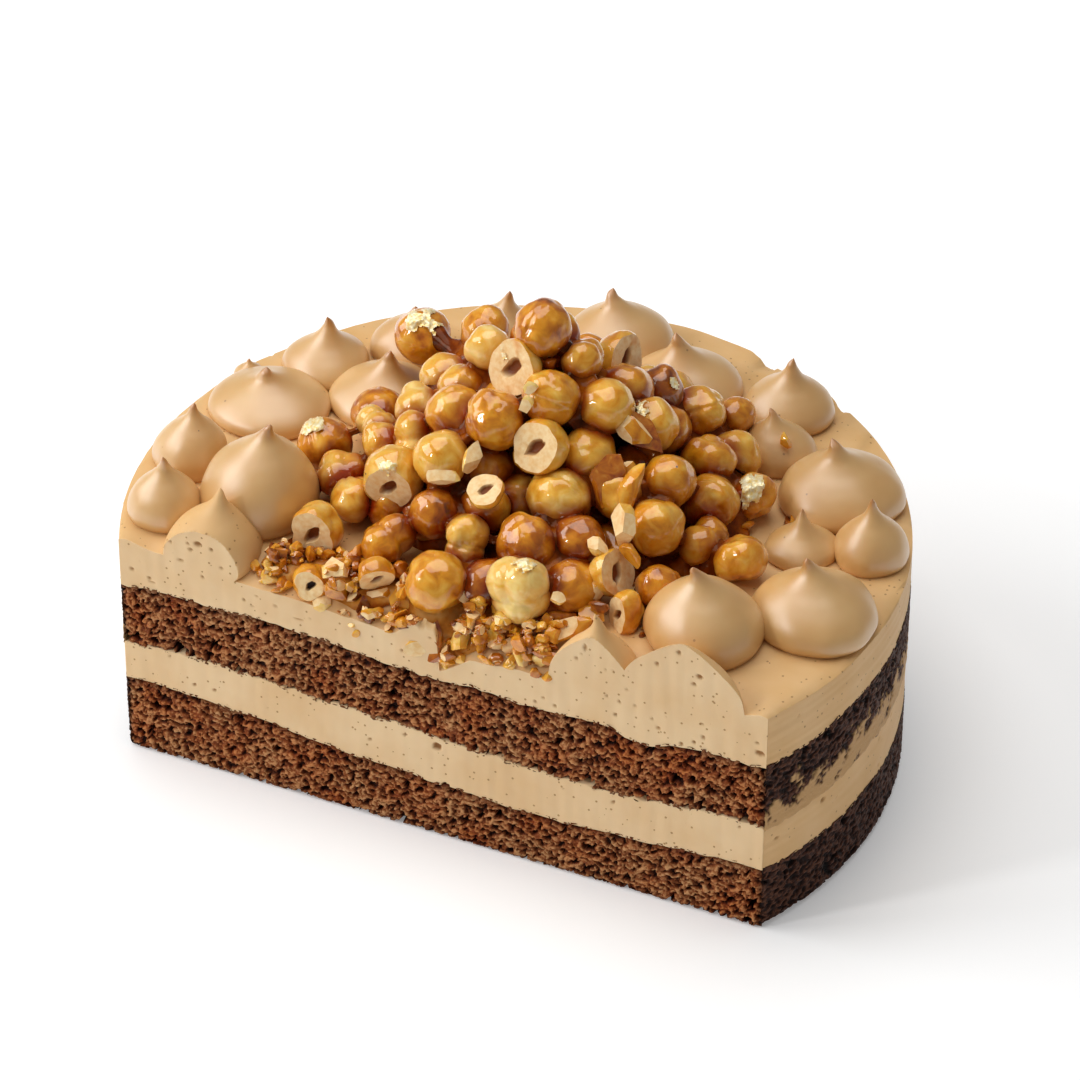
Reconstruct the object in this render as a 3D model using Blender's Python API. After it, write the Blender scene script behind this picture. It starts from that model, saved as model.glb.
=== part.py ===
"""A coffee hazelnut mousse cake, as cut: a little over half of a round cake.

Two chocolate sponges and two layers of coffee mousse, set in a ring, piped
with dollops of coffee cream round the rim and heaped with caramelised
hazelnuts. The knife cut is the flat front face, and the cake stands on z = 0.
"""
import math
import random

import bmesh
import bpy
from mathutils import Matrix, Vector

MM = 0.001

# The ring that the cake was set in, and where the knife went through it.
RING_RADIUS = 90 * MM
CAKE_HEIGHT = 60 * MM
CUT_TO_CENTRE = 43 * MM
CUT_Y = -(CUT_TO_CENTRE + RING_RADIUS) / 2
CENTRE_Y = CUT_Y + CUT_TO_CENTRE
HALF_CUT = math.sqrt(RING_RADIUS ** 2 - CUT_TO_CENTRE ** 2)
RING_SIDES = 64
GAP = 0.3 * MM
HEAP_GAP = 1.2 * MM

# Heights of the layers in mm along the cut, evenly spaced from left to right,
# and what each comes to deep inside the cake.
BOTTOM_SPONGE_TOP = ((21.0, 19.9, 17.6, 15.6, 14.5, 16.1, 17.2), 17.4)
LOWER_MOUSSE_TOP = ((30.0, 30.6, 29.1, 27.8, 26.4, 27.0, 28.3), 29.5)
UPPER_SPONGE_TOP = ((47.2, 48.0, 47.0, 45.3, 45.3, 44.2, 44.7), 47.8)
TOP_SURFACE = (60.0, 57.2, 55.0, 53.6, 52.6, 56.6, 59.4)
LAYER_FADE = 40 * MM
SURFACE_FADE = 9 * MM
BITE_X = 5 * MM
BITE_DEPTH = 5 * MM
BITE_WIDTH = 8 * MM

# Lines that divide the layers' faces: rows counted from the cut, columns along it.
LAYER_ROWS = (13 * MM, 27 * MM, 40 * MM)
LIP_ROWS = (0, 9 * MM, 24 * MM, 40 * MM)
COLUMN = 13.2 * MM
LIP_COLUMNS = (-7 * MM, 5 * MM, 20 * MM)

# Piped dollops in mm: x, y, radius, height, lean of the tip in x and in y.
DOLLOPS = (
    (-5.5, 49.0, 12.4, 18.0, -2.0, 0.0),
    (-33.0, 41.0, 10.0, 15.3, 2.0, 0.5),
    (16.0, 41.5, 12.6, 17.0, -4.0, -1.5),
    (40.0, 43.0, 10.5, 15.0, 0.5, 0.0),
    (45.0, 23.5, 9.0, 14.3, -2.0, -1.0),
    (64.2, 14.5, 14.6, 17.4, -2.5, -1.0),
    (79.0, -5.5, 8.6, 18.5, -1.0, -0.5),
    (63.7, -8.5, 8.7, 12.8, -0.6, 0.0),
    (76.0, -32.5, 13.3, 19.5, -2.0, -1.0),
    (54.5, -45.0, 13.0, 18.6, -1.5, -0.5),
    (-73.5, -54.3, 8.6, 16.5, 0.6, 0.0),
    (-55.6, -43.2, 13.4, 23.2, 3.4, 1.4),
    (-78.6, -32.8, 8.7, 15.9, 1.8, 0.8),
    (-72.0, -6.1, 14.4, 11.2, 0.0, 0.0),
    (-48.7, 7.2, 13.0, 14.5, 2.0, 1.0),
    (-67.5, 16.0, 10.8, 13.2, 1.0, 0.5),
    (-50.5, 27.0, 9.8, 14.2, 1.0, 0.5),
    (-82.2, 5.0, 6.0, 9.5, 0.5, 0.0),
    (-33.5, 20.5, 8.2, 10.5, 1.0, 0.5),
)
# Dollops that the knife went through: they are one with the mousse at the cut.
CUT_DOLLOPS = (
    (58.8, -72.3, 15.6, 18.8, 0.0, 0.0),
    (37.6, -64.8, 10.2, 19.0, 0.3, 0.0),
    (-57.6, -59.6, 11.4, 15.5, 2.8, 1.2),
)
CUT_DOLLOP_FOOT = 4 * MM
PAST_CUT = 8 * MM
# The outline of a dollop from its foot to its tip: share of radius, of height.
DOLLOP_OUTLINE = ((0.90, 0.0), (1.0, 0.2), (0.84, 0.50), (0.42, 0.75), (0.13, 0.90))
DOLLOP_SIDES = 13

# The heap of hazelnuts: the surface through the nuts' middles is a blunt cone.
HEAP_X = -1 * MM
HEAP_Y = -5 * MM
HEAP_LEFT, HEAP_RIGHT = 50 * MM, 54 * MM
HEAP_FRONT, HEAP_BACK = 56 * MM, 42 * MM
NUT_FOOT = 65.6 * MM
NUT_PEAK = 104 * MM
HEAP_POWER = 1.15
CORE_DEPTH = 1.0 * MM
FILM = 2.2 * MM
FILM_LEFT, FILM_RIGHT = -3 * COLUMN, 2 * COLUMN
FILM_BACK = CUT_Y + 12.5 * MM
CORE_FRONT = CUT_Y + 9.5 * MM
CORE_REACH = 75 * MM
CORE_SIDES, CORE_RINGS = 28, 10

# Hazelnuts that show, in mm (x, y), from the front row to the crest.
NUTS = (
    (-3, -59), (16, -55), (-10, -54), (-17, -51), (27, -50), (38, -50),
    (0, -48), (13, -46), (-10, -44), (-30, -44), (32, -41), (23, -40),
    (8, -37), (-13, -35), (17, -34), (-39, -33), (-32, -30), (36, -28),
    (-24, -27), (-4, -26), (27, -25), (55, -24), (46, -23), (18, -23),
    (-49, -22), (-15, -20), (6, -18), (-39, -17), (-27, -17), (34, -15),
    (43, -13), (17, -12), (25, -10), (-1, -6), (-14, -7), (9, -6),
    (38, -2), (49, -2), (27, 0), (22, 8), (29, 15), (34, 23),
)
# Halved and chipped ones: x and y in mm, and the way the cut face looks.
CUT_NUTS = (
    (-4, -15, (-0.3, -0.9, 0.3)), (8, -28, (-0.5, -0.8, 0.3)), (1, -41, (-0.2, -0.5, 0.8)),
    (-24, -37, (0.2, -0.9, -0.1)), (-36, -52, (0.1, -0.9, 0.1)), (-17, -60, (0.6, -0.6, -0.4)),
    (11, 8, (0.9, 0.1, 0.3)), (30, -32, (-0.2, -0.6, 0.7)), (-27, -62, (0.2, -0.5, 0.8)),
)
CUT_NUT_SHARE = 0.35
CUT_NUT_SIZE = 0.85
NUT_RADIUS = (5.9 * MM, 6.9 * MM)
NUT_LENGTH = (1.0, 1.22)
NUT_POINT = 1.08
NUT_TIP = (0.2, 1.9)
HEAP_SEED = 1
NUT_SPACING = 11.6 * MM
FILL_RINGS = (0.2, 0.45, 0.7, 0.93)
NUT_CLEARANCE = 1.0 * MM
MOVE_STEPS, MOVE_SHARE = 20, 0.05

# Two nuts hang out to the left on a strand of caramel, held by the heap.
HANGING_NUTS = ((-40.5, 13.0, 77.0), (-25.5, 10.5, 84.5))
STRAND_RADIUS = 3.2 * MM
STRAND_SIDES = 8
STRAND_SAG = 2 * MM

# Chopped nuts in front, and gold leaf: x and y in mm, turn in degrees.
CHIP_COUNT = 48
CHIP_SIZE = (2.6 * MM, 5.4 * MM)
CHIP_CORNER = (0.7, 1.05)
CHIP_TILT = 0.6
CHIP_LEFT, CHIP_RIGHT = -43 * MM, 30 * MM
CHIP_BAND = 11 * MM
GOLD = ((-49, -22, 20), (-24, -38, 60), (-14, -7, 80), (36, -28, 10), (49, -2, 120), (16, -55, 40))
GOLD_SIZE = (7.5 * MM, 4.2 * MM, 0.8 * MM)
GOLD_TILT = 35
GOLD_PLACE = Vector((0, -0.35, 0.9))


def srgb(hex_colour):
    """Linear colour from an sRGB hex value."""
    values = [int(hex_colour[i:i + 2], 16) / 255 for i in (1, 3, 5)]
    linear = [v / 12.92 if v <= 0.04045 else ((v + 0.055) / 1.055) ** 2.4 for v in values]
    return (*linear, 1.0)


def make_material(name, hex_colour, roughness):
    material = bpy.data.materials.new(name)
    material.use_nodes = True
    shader = material.node_tree.nodes["Principled BSDF"]
    shader.inputs["Base Color"].default_value = srgb(hex_colour)
    shader.inputs["Roughness"].default_value = roughness
    shader.inputs["Metallic"].default_value = 0.0
    return material


def make_object(name, bm, material, sharp_angle=math.radians(40)):
    """Object from a finished bmesh, shaded smooth but for its sharp edges."""
    bmesh.ops.recalc_face_normals(bm, faces=bm.faces)
    mesh = bpy.data.meshes.new(name)
    bm.to_mesh(mesh)
    bm.free()
    mesh.materials.append(material)
    mesh.shade_smooth()
    mesh.set_sharp_from_angle(angle=sharp_angle)
    piece = bpy.data.objects.new(name, mesh)
    bpy.context.scene.collection.objects.link(piece)
    return piece


def smooth_step(t):
    t = min(max(t, 0.0), 1.0)
    return t * t * (3 - 2 * t)


def along_cut(x, heights):
    """Height at x of a curve through heights spaced evenly along the cut."""
    place = (x + HALF_CUT) / (2 * HALF_CUT) * (len(heights) - 1)
    place = min(max(place, 0.0), len(heights) - 1.001)
    first = int(place)
    share = smooth_step(place - first)
    return (heights[first] * (1 - share) + heights[first + 1] * share) * MM


def layer_height(layer, x, y):
    heights, inner = layer
    share = 1 - smooth_step((y - CUT_Y) / LAYER_FADE)
    return inner * MM + (along_cut(x, heights) - inner * MM) * share


def top_surface(x, y):
    """Top of the mousse: flat, but sloping down to the cut, where its lip broke off."""
    broken = BITE_DEPTH * math.exp(-((x - BITE_X) / BITE_WIDTH) ** 2)
    lip = along_cut(x, TOP_SURFACE) - broken
    share = 1 - min(max((y - CUT_Y) / SURFACE_FADE, 0.0), 1.0)
    return CAKE_HEIGHT + (lip - CAKE_HEIGHT) * share


def slice_with(bm, point, normal, clear=False):
    geometry = bm.verts[:] + bm.edges[:] + bm.faces[:]
    bmesh.ops.bisect_plane(bm, geom=geometry, dist=1e-7, plane_co=point, plane_no=normal, clear_outer=clear)


def cap_openings(bm):
    open_edges = [edge for edge in bm.edges if edge.is_boundary]
    bmesh.ops.holes_fill(bm, edges=open_edges, sides=0)


def build_layer(bottom, top, front=CUT_Y, rows=LAYER_ROWS, extra_columns=()):
    """Plate with the cake's outline between two surfaces given as functions of x and y."""
    bm = bmesh.new()
    bmesh.ops.create_circle(bm, cap_ends=True, segments=RING_SIDES, radius=RING_RADIUS,
                            matrix=Matrix.Translation((0, CENTRE_Y, 0)))
    slice_with(bm, (0, front, 0), (0, -1, 0), clear=True)
    for row in rows:
        slice_with(bm, (0, CUT_Y + row, 0), (0, 1, 0))
    count = int(HALF_CUT / COLUMN)
    for column in [COLUMN * step for step in range(-count, count + 1)] + list(extra_columns):
        slice_with(bm, (column, 0, 0), (1, 0, 0))
    lower = bm.verts[:]
    result = bmesh.ops.extrude_face_region(bm, geom=bm.faces[:], use_keep_orig=True)
    upper = [item for item in result["geom"] if isinstance(item, bmesh.types.BMVert)]
    for vert in lower:
        vert.co.z = bottom(vert.co.x, vert.co.y)
    for vert in upper:
        vert.co.z = top(vert.co.x, vert.co.y)
    bmesh.ops.triangulate(bm, faces=bm.faces[:])
    return bm


def dollop_mesh(place, foot=0.0):
    """Piped dollop: a round foot drawn up into a leaning tip, from a turned outline."""
    x, y, radius, height, lean_x, lean_y = (value * MM for value in place)
    base = top_surface(x, y) if foot else CAKE_HEIGHT + GAP
    bm = bmesh.new()
    start = [(0.0, -foot), (DOLLOP_OUTLINE[0][0] * radius, -foot)] if foot else [(0.0, 0.0)]
    points = start + [(share * radius, level * height) for share, level in DOLLOP_OUTLINE] + [(0.0, height)]
    verts = [bm.verts.new((across, 0, up)) for across, up in points]
    edges = [bm.edges.new(pair) for pair in zip(verts, verts[1:])]
    bmesh.ops.spin(bm, geom=verts + edges, cent=(0, 0, 0), axis=(0, 0, 1), angle=2 * math.pi,
                   steps=DOLLOP_SIDES, use_merge=True)
    bmesh.ops.remove_doubles(bm, verts=bm.verts[:], dist=1e-6)
    for vert in bm.verts:
        lean = max(vert.co.z / height, 0.0) ** 3
        vert.co += Vector((x + lean_x * lean, y + lean_y * lean, base))
    return bm


def trim_contacts(bm, place, others):
    """Neighbours that were piped into each other meet in a flat face."""
    centre = Vector(place[:2]) * MM
    radius = place[2] * MM
    for other in others:
        away = Vector(other[:2]) * MM - centre
        distance = away.length
        other_radius = other[2] * MM
        if distance < 1e-6 or distance > radius + other_radius + GAP:
            continue
        share = (distance ** 2 + radius ** 2 - other_radius ** 2) / (2 * distance)
        point = centre + away.normalized() * (share - GAP / 2)
        slice_with(bm, (point.x, point.y, 0), (away.x, away.y, 0), clear=True)
        cap_openings(bm)


def fuse(name, core, pieces, solver="EXACT"):
    """One solid from a core and many pieces, without sealed hollows or loose scraps."""
    gathered = bpy.data.collections.new(name + "_pieces")
    for piece in pieces:
        bpy.context.scene.collection.objects.unlink(piece)
        gathered.objects.link(piece)
    union = core.modifiers.new("union", "BOOLEAN")
    union.operation = "UNION"
    union.operand_type = "COLLECTION"
    union.collection = gathered
    union.solver = solver
    evaluated = core.evaluated_get(bpy.context.evaluated_depsgraph_get())
    bm = bmesh.new()
    bm.from_mesh(evaluated.to_mesh())
    evaluated.to_mesh_clear()
    for piece in pieces + [core]:
        bpy.data.objects.remove(piece)
    bpy.data.collections.remove(gathered)
    keep_largest(bm)
    return bm


def keep_largest(bm):
    """Keep the outer skin alone: the inner skins are hollows and the small ones scraps."""
    groups = []
    waiting = set(bm.faces)
    while waiting:
        start = waiting.pop()
        group = {start}
        front = [start]
        while front:
            neighbours = {face for edge in front.pop().edges for face in edge.link_faces}
            fresh = neighbours & waiting
            waiting -= fresh
            group |= fresh
            front.extend(fresh)
        groups.append(group)
    largest = max(groups, key=len)
    bmesh.ops.delete(bm, geom=[face for face in bm.faces if face not in largest], context="FACES")


def underside(layer):
    """Underside of what lies on a layer, as a function of x and y; the first lies on the floor."""
    if layer is None:
        return lambda x, y: 0.0
    return lambda x, y: layer_height(layer, x, y) + GAP


def build_sponges_and_lower_mousse(sponge, mousse):
    below = None
    for name, layer, material in (("sponge_bottom", BOTTOM_SPONGE_TOP, sponge),
                                  ("mousse_lower", LOWER_MOUSSE_TOP, mousse),
                                  ("sponge_upper", UPPER_SPONGE_TOP, sponge)):
        top = lambda x, y: layer_height(layer, x, y)
        make_object(name, build_layer(underside(below), top), material)
        below = layer


def build_top_mousse(mousse):
    """Top mousse with the dollops that were cut, trimmed together by the knife."""
    plate = build_layer(underside(UPPER_SPONGE_TOP), top_surface, CUT_Y - PAST_CUT, LIP_ROWS, LIP_COLUMNS)
    core = make_object("mousse_top_core", plate, mousse)
    pieces = []
    for place in CUT_DOLLOPS:
        bm = dollop_mesh(place, CUT_DOLLOP_FOOT)
        trim_contacts(bm, place, DOLLOPS)
        pieces.append(make_object("cut_dollop", bm, mousse))
    bm = fuse("mousse_top", core, pieces)
    slice_with(bm, (0, CUT_Y, 0), (0, -1, 0), clear=True)
    cap_openings(bm)
    make_object("mousse_top", bm, mousse)


def build_dollops(cream):
    for number, place in enumerate(DOLLOPS, start=1):
        bm = dollop_mesh(place)
        trim_contacts(bm, place, DOLLOPS + CUT_DOLLOPS)
        make_object(f"dollop_{number:02d}", bm, cream)


def nut_height(x, y):
    """Height of the middle of a nut that lies on the heap at x and y."""
    across = (x - HEAP_X) / (HEAP_LEFT if x < HEAP_X else HEAP_RIGHT)
    along = (y - HEAP_Y) / (HEAP_FRONT if y < HEAP_Y else HEAP_BACK)
    share = max(0.0, 1 - math.hypot(across, along))
    return NUT_FOOT + (NUT_PEAK - NUT_FOOT) * share ** HEAP_POWER


def dollop_at(place, z):
    """Middle and radius of a dollop at height z, from its outline and its lean."""
    x, y, radius, height, lean_x, lean_y = (value * MM for value in place)
    level = min(max((z - CAKE_HEIGHT) / height, 0.0), 1.0)
    outline = DOLLOP_OUTLINE + ((0.0, 1.0),)
    width = 0.0
    for (share_low, low), (share_high, high) in zip(outline, outline[1:]):
        if low <= level <= high:
            share = (level - low) / (high - low)
            width = radius * (share_low * (1 - share) + share_high * share)
    return x + lean_x * level ** 3, y + lean_y * level ** 3, width


def is_clear(x, y, z, radius):
    """True where a ball keeps off every dollop and stays behind the cut."""
    if y - radius < CUT_Y + GAP:
        return False
    for place in DOLLOPS + CUT_DOLLOPS:
        for below in (1.0, 0.5, 0.0):
            middle_x, middle_y, width = dollop_at(place, z - below * radius)
            if math.hypot(x - middle_x, y - middle_y) < width + radius + NUT_CLEARANCE:
                return False
    return True


def move_clear(x, y, radius):
    """Move a nut in steps towards the middle of the heap until it is clear."""
    for _ in range(MOVE_STEPS):
        z = nut_height(x, y)
        if is_clear(x, y, z, radius):
            return Vector((x, y, z))
        x += (HEAP_X - x) * MOVE_SHARE
        y += (HEAP_Y - y) * MOVE_SHARE
    return None


def footprint_radius(angle):
    """How far the heap's core reaches in a direction, up to the dollops and its front."""
    reach_x = HEAP_LEFT if math.cos(angle) < 0 else HEAP_RIGHT
    reach_y = CORE_REACH if math.sin(angle) < 0 else HEAP_BACK
    limit = 1 / math.hypot(math.cos(angle) / reach_x, math.sin(angle) / reach_y)
    step = 1 * MM
    distance = 0.0
    while distance < limit:
        x = HEAP_X + distance * math.cos(angle)
        y = HEAP_Y + distance * math.sin(angle)
        if y < CORE_FRONT or not is_clear(x, y, CAKE_HEIGHT + FILM, FILM / 2):
            break
        distance += step
    return distance


def heap_core_mesh():
    """Caramel core: a ball drawn out to the heap's foot, flat below and domed above."""
    bm = bmesh.new()
    bmesh.ops.create_uvsphere(bm, u_segments=CORE_SIDES, v_segments=CORE_RINGS, radius=1.0)
    for vert in bm.verts:
        share = math.hypot(vert.co.x, vert.co.y)
        angle = math.atan2(vert.co.y, vert.co.x)
        reach = footprint_radius(angle) * share
        x = HEAP_X + reach * math.cos(angle)
        y = HEAP_Y + reach * math.sin(angle)
        floor = CAKE_HEIGHT + GAP
        roof = max(nut_height(x, y) - CORE_DEPTH, floor + FILM)
        if abs(vert.co.z) < 1e-6:
            z = floor + FILM / 2
        else:
            z = roof if vert.co.z > 0 else floor
        vert.co = (x, y, z)
    return bm


def film_mesh():
    """Thin caramel that ran out over the mousse in front, which holds the chopped nuts."""
    bm = build_layer(lambda x, y: top_surface(x, y) + GAP, lambda x, y: top_surface(x, y) + FILM,
                     CUT_Y, LIP_ROWS, LIP_COLUMNS)
    for point, normal in (((FILM_LEFT, 0, 0), (-1, 0, 0)), ((FILM_RIGHT, 0, 0), (1, 0, 0)),
                          ((0, FILM_BACK, 0), (0, 1, 0))):
        slice_with(bm, point, normal, clear=True)
        cap_openings(bm)
    return bm


def lift_off_surface(bm):
    """Raise a piece until it is clear of the mousse below it."""
    lift = max(top_surface(vert.co.x, vert.co.y) + HEAP_GAP - vert.co.z for vert in bm.verts)
    bmesh.ops.translate(bm, verts=bm.verts, vec=(0, 0, max(lift, 0.0)))


def nut_mesh(place, radius, rng, cut_way=None):
    """Hazelnut: a slightly long ball with a blunt point, halved where it shows its cut."""
    bm = bmesh.new()
    bmesh.ops.create_icosphere(bm, subdivisions=2, radius=radius)
    length = rng.uniform(*NUT_LENGTH)
    for vert in bm.verts:
        vert.co.z *= length * (NUT_POINT if vert.co.z > 0.8 * radius else 1.0)
    if cut_way:
        slice_with(bm, Vector(cut_way) * radius * CUT_NUT_SHARE, cut_way, clear=True)
        cap_openings(bm)
    else:
        turn = Matrix.Rotation(rng.uniform(0, 2 * math.pi), 3, "Z")
        tip = Matrix.Rotation(rng.uniform(*NUT_TIP), 3, "X")
        bmesh.ops.rotate(bm, verts=bm.verts, cent=(0, 0, 0), matrix=turn @ tip)
    bmesh.ops.translate(bm, verts=bm.verts, vec=place)
    lift_off_surface(bm)
    return bm


def place_nuts(rng):
    """Nuts as (place, radius, cut): those that show, then rings of them over the rest."""
    nuts = []
    for x, y, way in [(x, y, None) for x, y in NUTS] + list(CUT_NUTS):
        radius = rng.uniform(*NUT_RADIUS) * (CUT_NUT_SIZE if way else 1.0)
        place = move_clear(x * MM, y * MM, radius)
        if place:
            nuts.append((place, radius, way))
    for x, y, z in HANGING_NUTS:
        nuts.append((Vector((x, y, z)) * MM, NUT_RADIUS[0], None))
    for share in FILL_RINGS:
        steps = int(2 * math.pi * share * HEAP_BACK / (0.25 * NUT_SPACING)) + 1
        for step in range(steps):
            angle = 2 * math.pi * step / steps + share
            x = HEAP_X + share * math.cos(angle) * HEAP_LEFT
            y = HEAP_Y + share * math.sin(angle) * (HEAP_FRONT if math.sin(angle) < 0 else HEAP_BACK)
            radius = rng.uniform(*NUT_RADIUS)
            place = move_clear(x, y, radius)
            if place and all((place - other).length > NUT_SPACING for other, _, _ in nuts):
                nuts.append((place, radius, None))
    return nuts


def chip_mesh(x, y, size, rng):
    """Chip of chopped nut: a block with its corners pushed in by chance."""
    bm = bmesh.new()
    bmesh.ops.create_cube(bm, size=size)
    for vert in bm.verts:
        vert.co *= rng.uniform(*CHIP_CORNER)
    turn = Matrix.Rotation(rng.uniform(0, math.pi), 3, "Z")
    tilt = Matrix.Rotation(rng.uniform(0, CHIP_TILT), 3, "X")
    bmesh.ops.rotate(bm, verts=bm.verts, cent=(0, 0, 0), matrix=turn @ tilt)
    bmesh.ops.translate(bm, verts=bm.verts, vec=(x, y, top_surface(x, y)))
    lift_off_surface(bm)
    return bm


def gold_mesh(place, radius, degrees):
    """Gold leaf: a thin bent flake pressed on top of a nut."""
    bm = bmesh.new()
    bmesh.ops.create_cube(bm, size=1.0)
    bmesh.ops.scale(bm, verts=bm.verts, vec=GOLD_SIZE)
    turn = Matrix.Rotation(math.radians(degrees), 3, "Z")
    tilt = Matrix.Rotation(math.radians(GOLD_TILT), 3, "X")
    bmesh.ops.rotate(bm, verts=bm.verts, cent=(0, 0, 0), matrix=turn @ tilt)
    bmesh.ops.translate(bm, verts=bm.verts, vec=place + GOLD_PLACE * radius)
    return bm


def strand_mesh():
    """Strand of caramel between the two nuts that hang out."""
    start, end = (Vector(place) * MM for place in HANGING_NUTS)
    along = end - start
    bm = bmesh.new()
    bmesh.ops.create_cone(bm, cap_ends=True, segments=STRAND_SIDES, radius1=STRAND_RADIUS,
                          radius2=STRAND_RADIUS, depth=along.length)
    turn = along.to_track_quat("Z", "Y").to_matrix()
    bmesh.ops.rotate(bm, verts=bm.verts, cent=(0, 0, 0), matrix=turn)
    bmesh.ops.translate(bm, verts=bm.verts, vec=(start + end) / 2 - Vector((0, 0, STRAND_SAG)))
    return bm


def build_heap(caramel):
    rng = random.Random(HEAP_SEED)
    core = make_object("heap_core", heap_core_mesh(), caramel)
    nuts = place_nuts(rng)
    meshes = [nut_mesh(place, radius, rng, way) for place, radius, way in nuts]
    meshes += [strand_mesh(), film_mesh()]
    for _ in range(CHIP_COUNT):
        size = rng.uniform(*CHIP_SIZE)
        x = rng.uniform(CHIP_LEFT, CHIP_RIGHT)
        y = CUT_Y + size * 0.9 + rng.uniform(0, CHIP_BAND)
        if is_clear(x, y, CAKE_HEIGHT, 0.8 * size):
            meshes.append(chip_mesh(x, y, size, rng))
    for x, y, degrees in GOLD:
        place, radius, _ = min(nuts, key=lambda nut: math.hypot(nut[0].x - x * MM, nut[0].y - y * MM))
        meshes.append(gold_mesh(place, radius, degrees))
    pieces = [make_object("heap_piece", bm, caramel) for bm in meshes]
    make_object("hazelnut_heap", fuse("hazelnut_heap", core, pieces, "MANIFOLD"), caramel)


def main():
    for existing in list(bpy.data.objects):
        bpy.data.objects.remove(existing)
    sponge = make_material("chocolate_sponge", "#6B4230", 0.9)
    mousse = make_material("coffee_mousse", "#D9B88E", 0.6)
    cream = make_material("coffee_cream", "#D8B183", 0.4)
    caramel = make_material("caramelised_hazelnut", "#B9792B", 0.2)
    build_sponges_and_lower_mousse(sponge, mousse)
    build_top_mousse(mousse)
    build_dollops(cream)
    build_heap(caramel)


main()
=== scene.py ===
import math
import random

import bmesh
import bpy
from mathutils import Matrix, Vector, noise
from mathutils.bvhtree import BVHTree
from mathutils.kdtree import KDTree


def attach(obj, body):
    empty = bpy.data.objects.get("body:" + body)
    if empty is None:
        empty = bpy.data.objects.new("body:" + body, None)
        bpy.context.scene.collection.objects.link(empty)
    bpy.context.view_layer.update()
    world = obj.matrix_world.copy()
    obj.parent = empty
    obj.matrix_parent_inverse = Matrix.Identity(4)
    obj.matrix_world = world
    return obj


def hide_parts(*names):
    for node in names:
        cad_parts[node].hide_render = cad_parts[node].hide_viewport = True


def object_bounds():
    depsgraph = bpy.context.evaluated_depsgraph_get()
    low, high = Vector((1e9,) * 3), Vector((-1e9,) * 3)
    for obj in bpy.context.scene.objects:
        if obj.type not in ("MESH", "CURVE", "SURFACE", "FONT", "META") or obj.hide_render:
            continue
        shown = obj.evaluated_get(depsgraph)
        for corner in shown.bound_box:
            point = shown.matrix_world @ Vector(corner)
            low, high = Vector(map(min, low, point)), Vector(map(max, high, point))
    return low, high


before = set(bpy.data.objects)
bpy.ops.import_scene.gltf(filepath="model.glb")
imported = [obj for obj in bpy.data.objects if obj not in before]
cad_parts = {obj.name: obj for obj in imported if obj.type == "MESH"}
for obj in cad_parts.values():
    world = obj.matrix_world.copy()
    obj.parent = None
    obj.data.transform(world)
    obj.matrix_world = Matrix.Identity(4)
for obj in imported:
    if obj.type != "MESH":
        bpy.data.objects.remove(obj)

cad_low, cad_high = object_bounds()
MM = 0.001

# Bottom sponge
# A dark chocolate sponge, baked in a tin, that lies at the bottom of the ring. The knife tore its
# crumb open: clumps about a millimetre wide with pores between them. Its outside is a darker, finer
# crust, rounded at the foot, and syrup has soaked a darker band along its top.
RADIUS = (cad_high.x - cad_low.x) / 2
CUT_Y = cad_low.y
CENTRE_Y = cad_high.y - RADIUS
HALF_CUT = math.sqrt(RADIUS ** 2 - (CENTRE_Y - CUT_Y) ** 2)
FADE = 40 * MM
WALL_SIDES = 1080
CUT_STEP = 0.34 * MM
LAYER_STEP = 13 * MM
BOTTOM_SPONGE_TOP = (21.0, 20.7, 20.4, 19.7, 18.9, 17.8, 16.9, 16.2, 15.6, 15.2, 14.7, 14.6, 15.2,
                     16.0, 16.7, 17.4, 17.2)
BOTTOM_SPONGE_INNER = 17.4
CRUMB_WARP = 1.3 * MM
FLATTENED = 1.35
CLUMP = 1.3 * MM
CLUMP_DEPTH = 0.7 * MM
PIT = 1.25 * MM
PIT_DEPTH = 1.2 * MM
HOLE = 2.6 * MM
HOLE_DEPTH = 2.0 * MM
CRUST_SHARE = 0.4
FOOT_ROUND = 2.2 * MM
SOAKED_BAND = 2.6 * MM
CRUST_BAND = 1.7 * MM
CRUMB_SEED = 7

# Without a seed, the warp of the crumb differs from run to run.
noise.seed_set(CRUMB_SEED)


def linear(hex_colour):
    """Linear colour with alpha from an sRGB hex value."""
    values = [int(hex_colour[i:i + 2], 16) / 255 for i in (1, 3, 5)]
    return (*[v / 12.92 if v <= 0.04045 else ((v + 0.055) / 1.055) ** 2.4 for v in values], 1.0)


def add_node(tree, kind, inputs=None, stops=None, **properties):
    """Add a shader node. Inputs are values, or the sockets that feed them, or nodes, whose first output
    feeds them. Stops fill a colour ramp."""
    node = tree.nodes.new("ShaderNode" + kind)
    for name, value in properties.items():
        setattr(node, name, value)
    for name, value in (inputs or {}).items():
        if isinstance(value, bpy.types.Node):
            value = value.outputs[0]
        if isinstance(value, bpy.types.NodeSocket):
            tree.links.new(value, node.inputs[name])
        else:
            node.inputs[name].default_value = value
    for index, (place, colour) in enumerate(stops or ()):
        ramp = node.color_ramp.elements
        is_old = index < len(ramp) - 1 or index == len(stops) - 1
        element = ramp[index] if is_old else ramp.new(place)
        element.position = place
        element.color = linear(colour)
    return node


def start_material(name, settings):
    """New material: its node tree, its shader and the Object coordinates that its patterns read."""
    material = bpy.data.materials.new(name)
    material.use_nodes = True
    tree = material.node_tree
    shader = tree.nodes["Principled BSDF"]
    for socket, value in settings.items():
        shader.inputs[socket].default_value = value
    return material, tree, shader, add_node(tree, "TexCoord").outputs["Object"]


def mixed(tree, amount, first, second, blend="MIX"):
    """Colour socket with second laid over first."""
    inputs = {0: amount, 6: first, 7: second}
    return add_node(tree, "Mix", inputs, data_type="RGBA", blend_type=blend).outputs[2]


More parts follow.
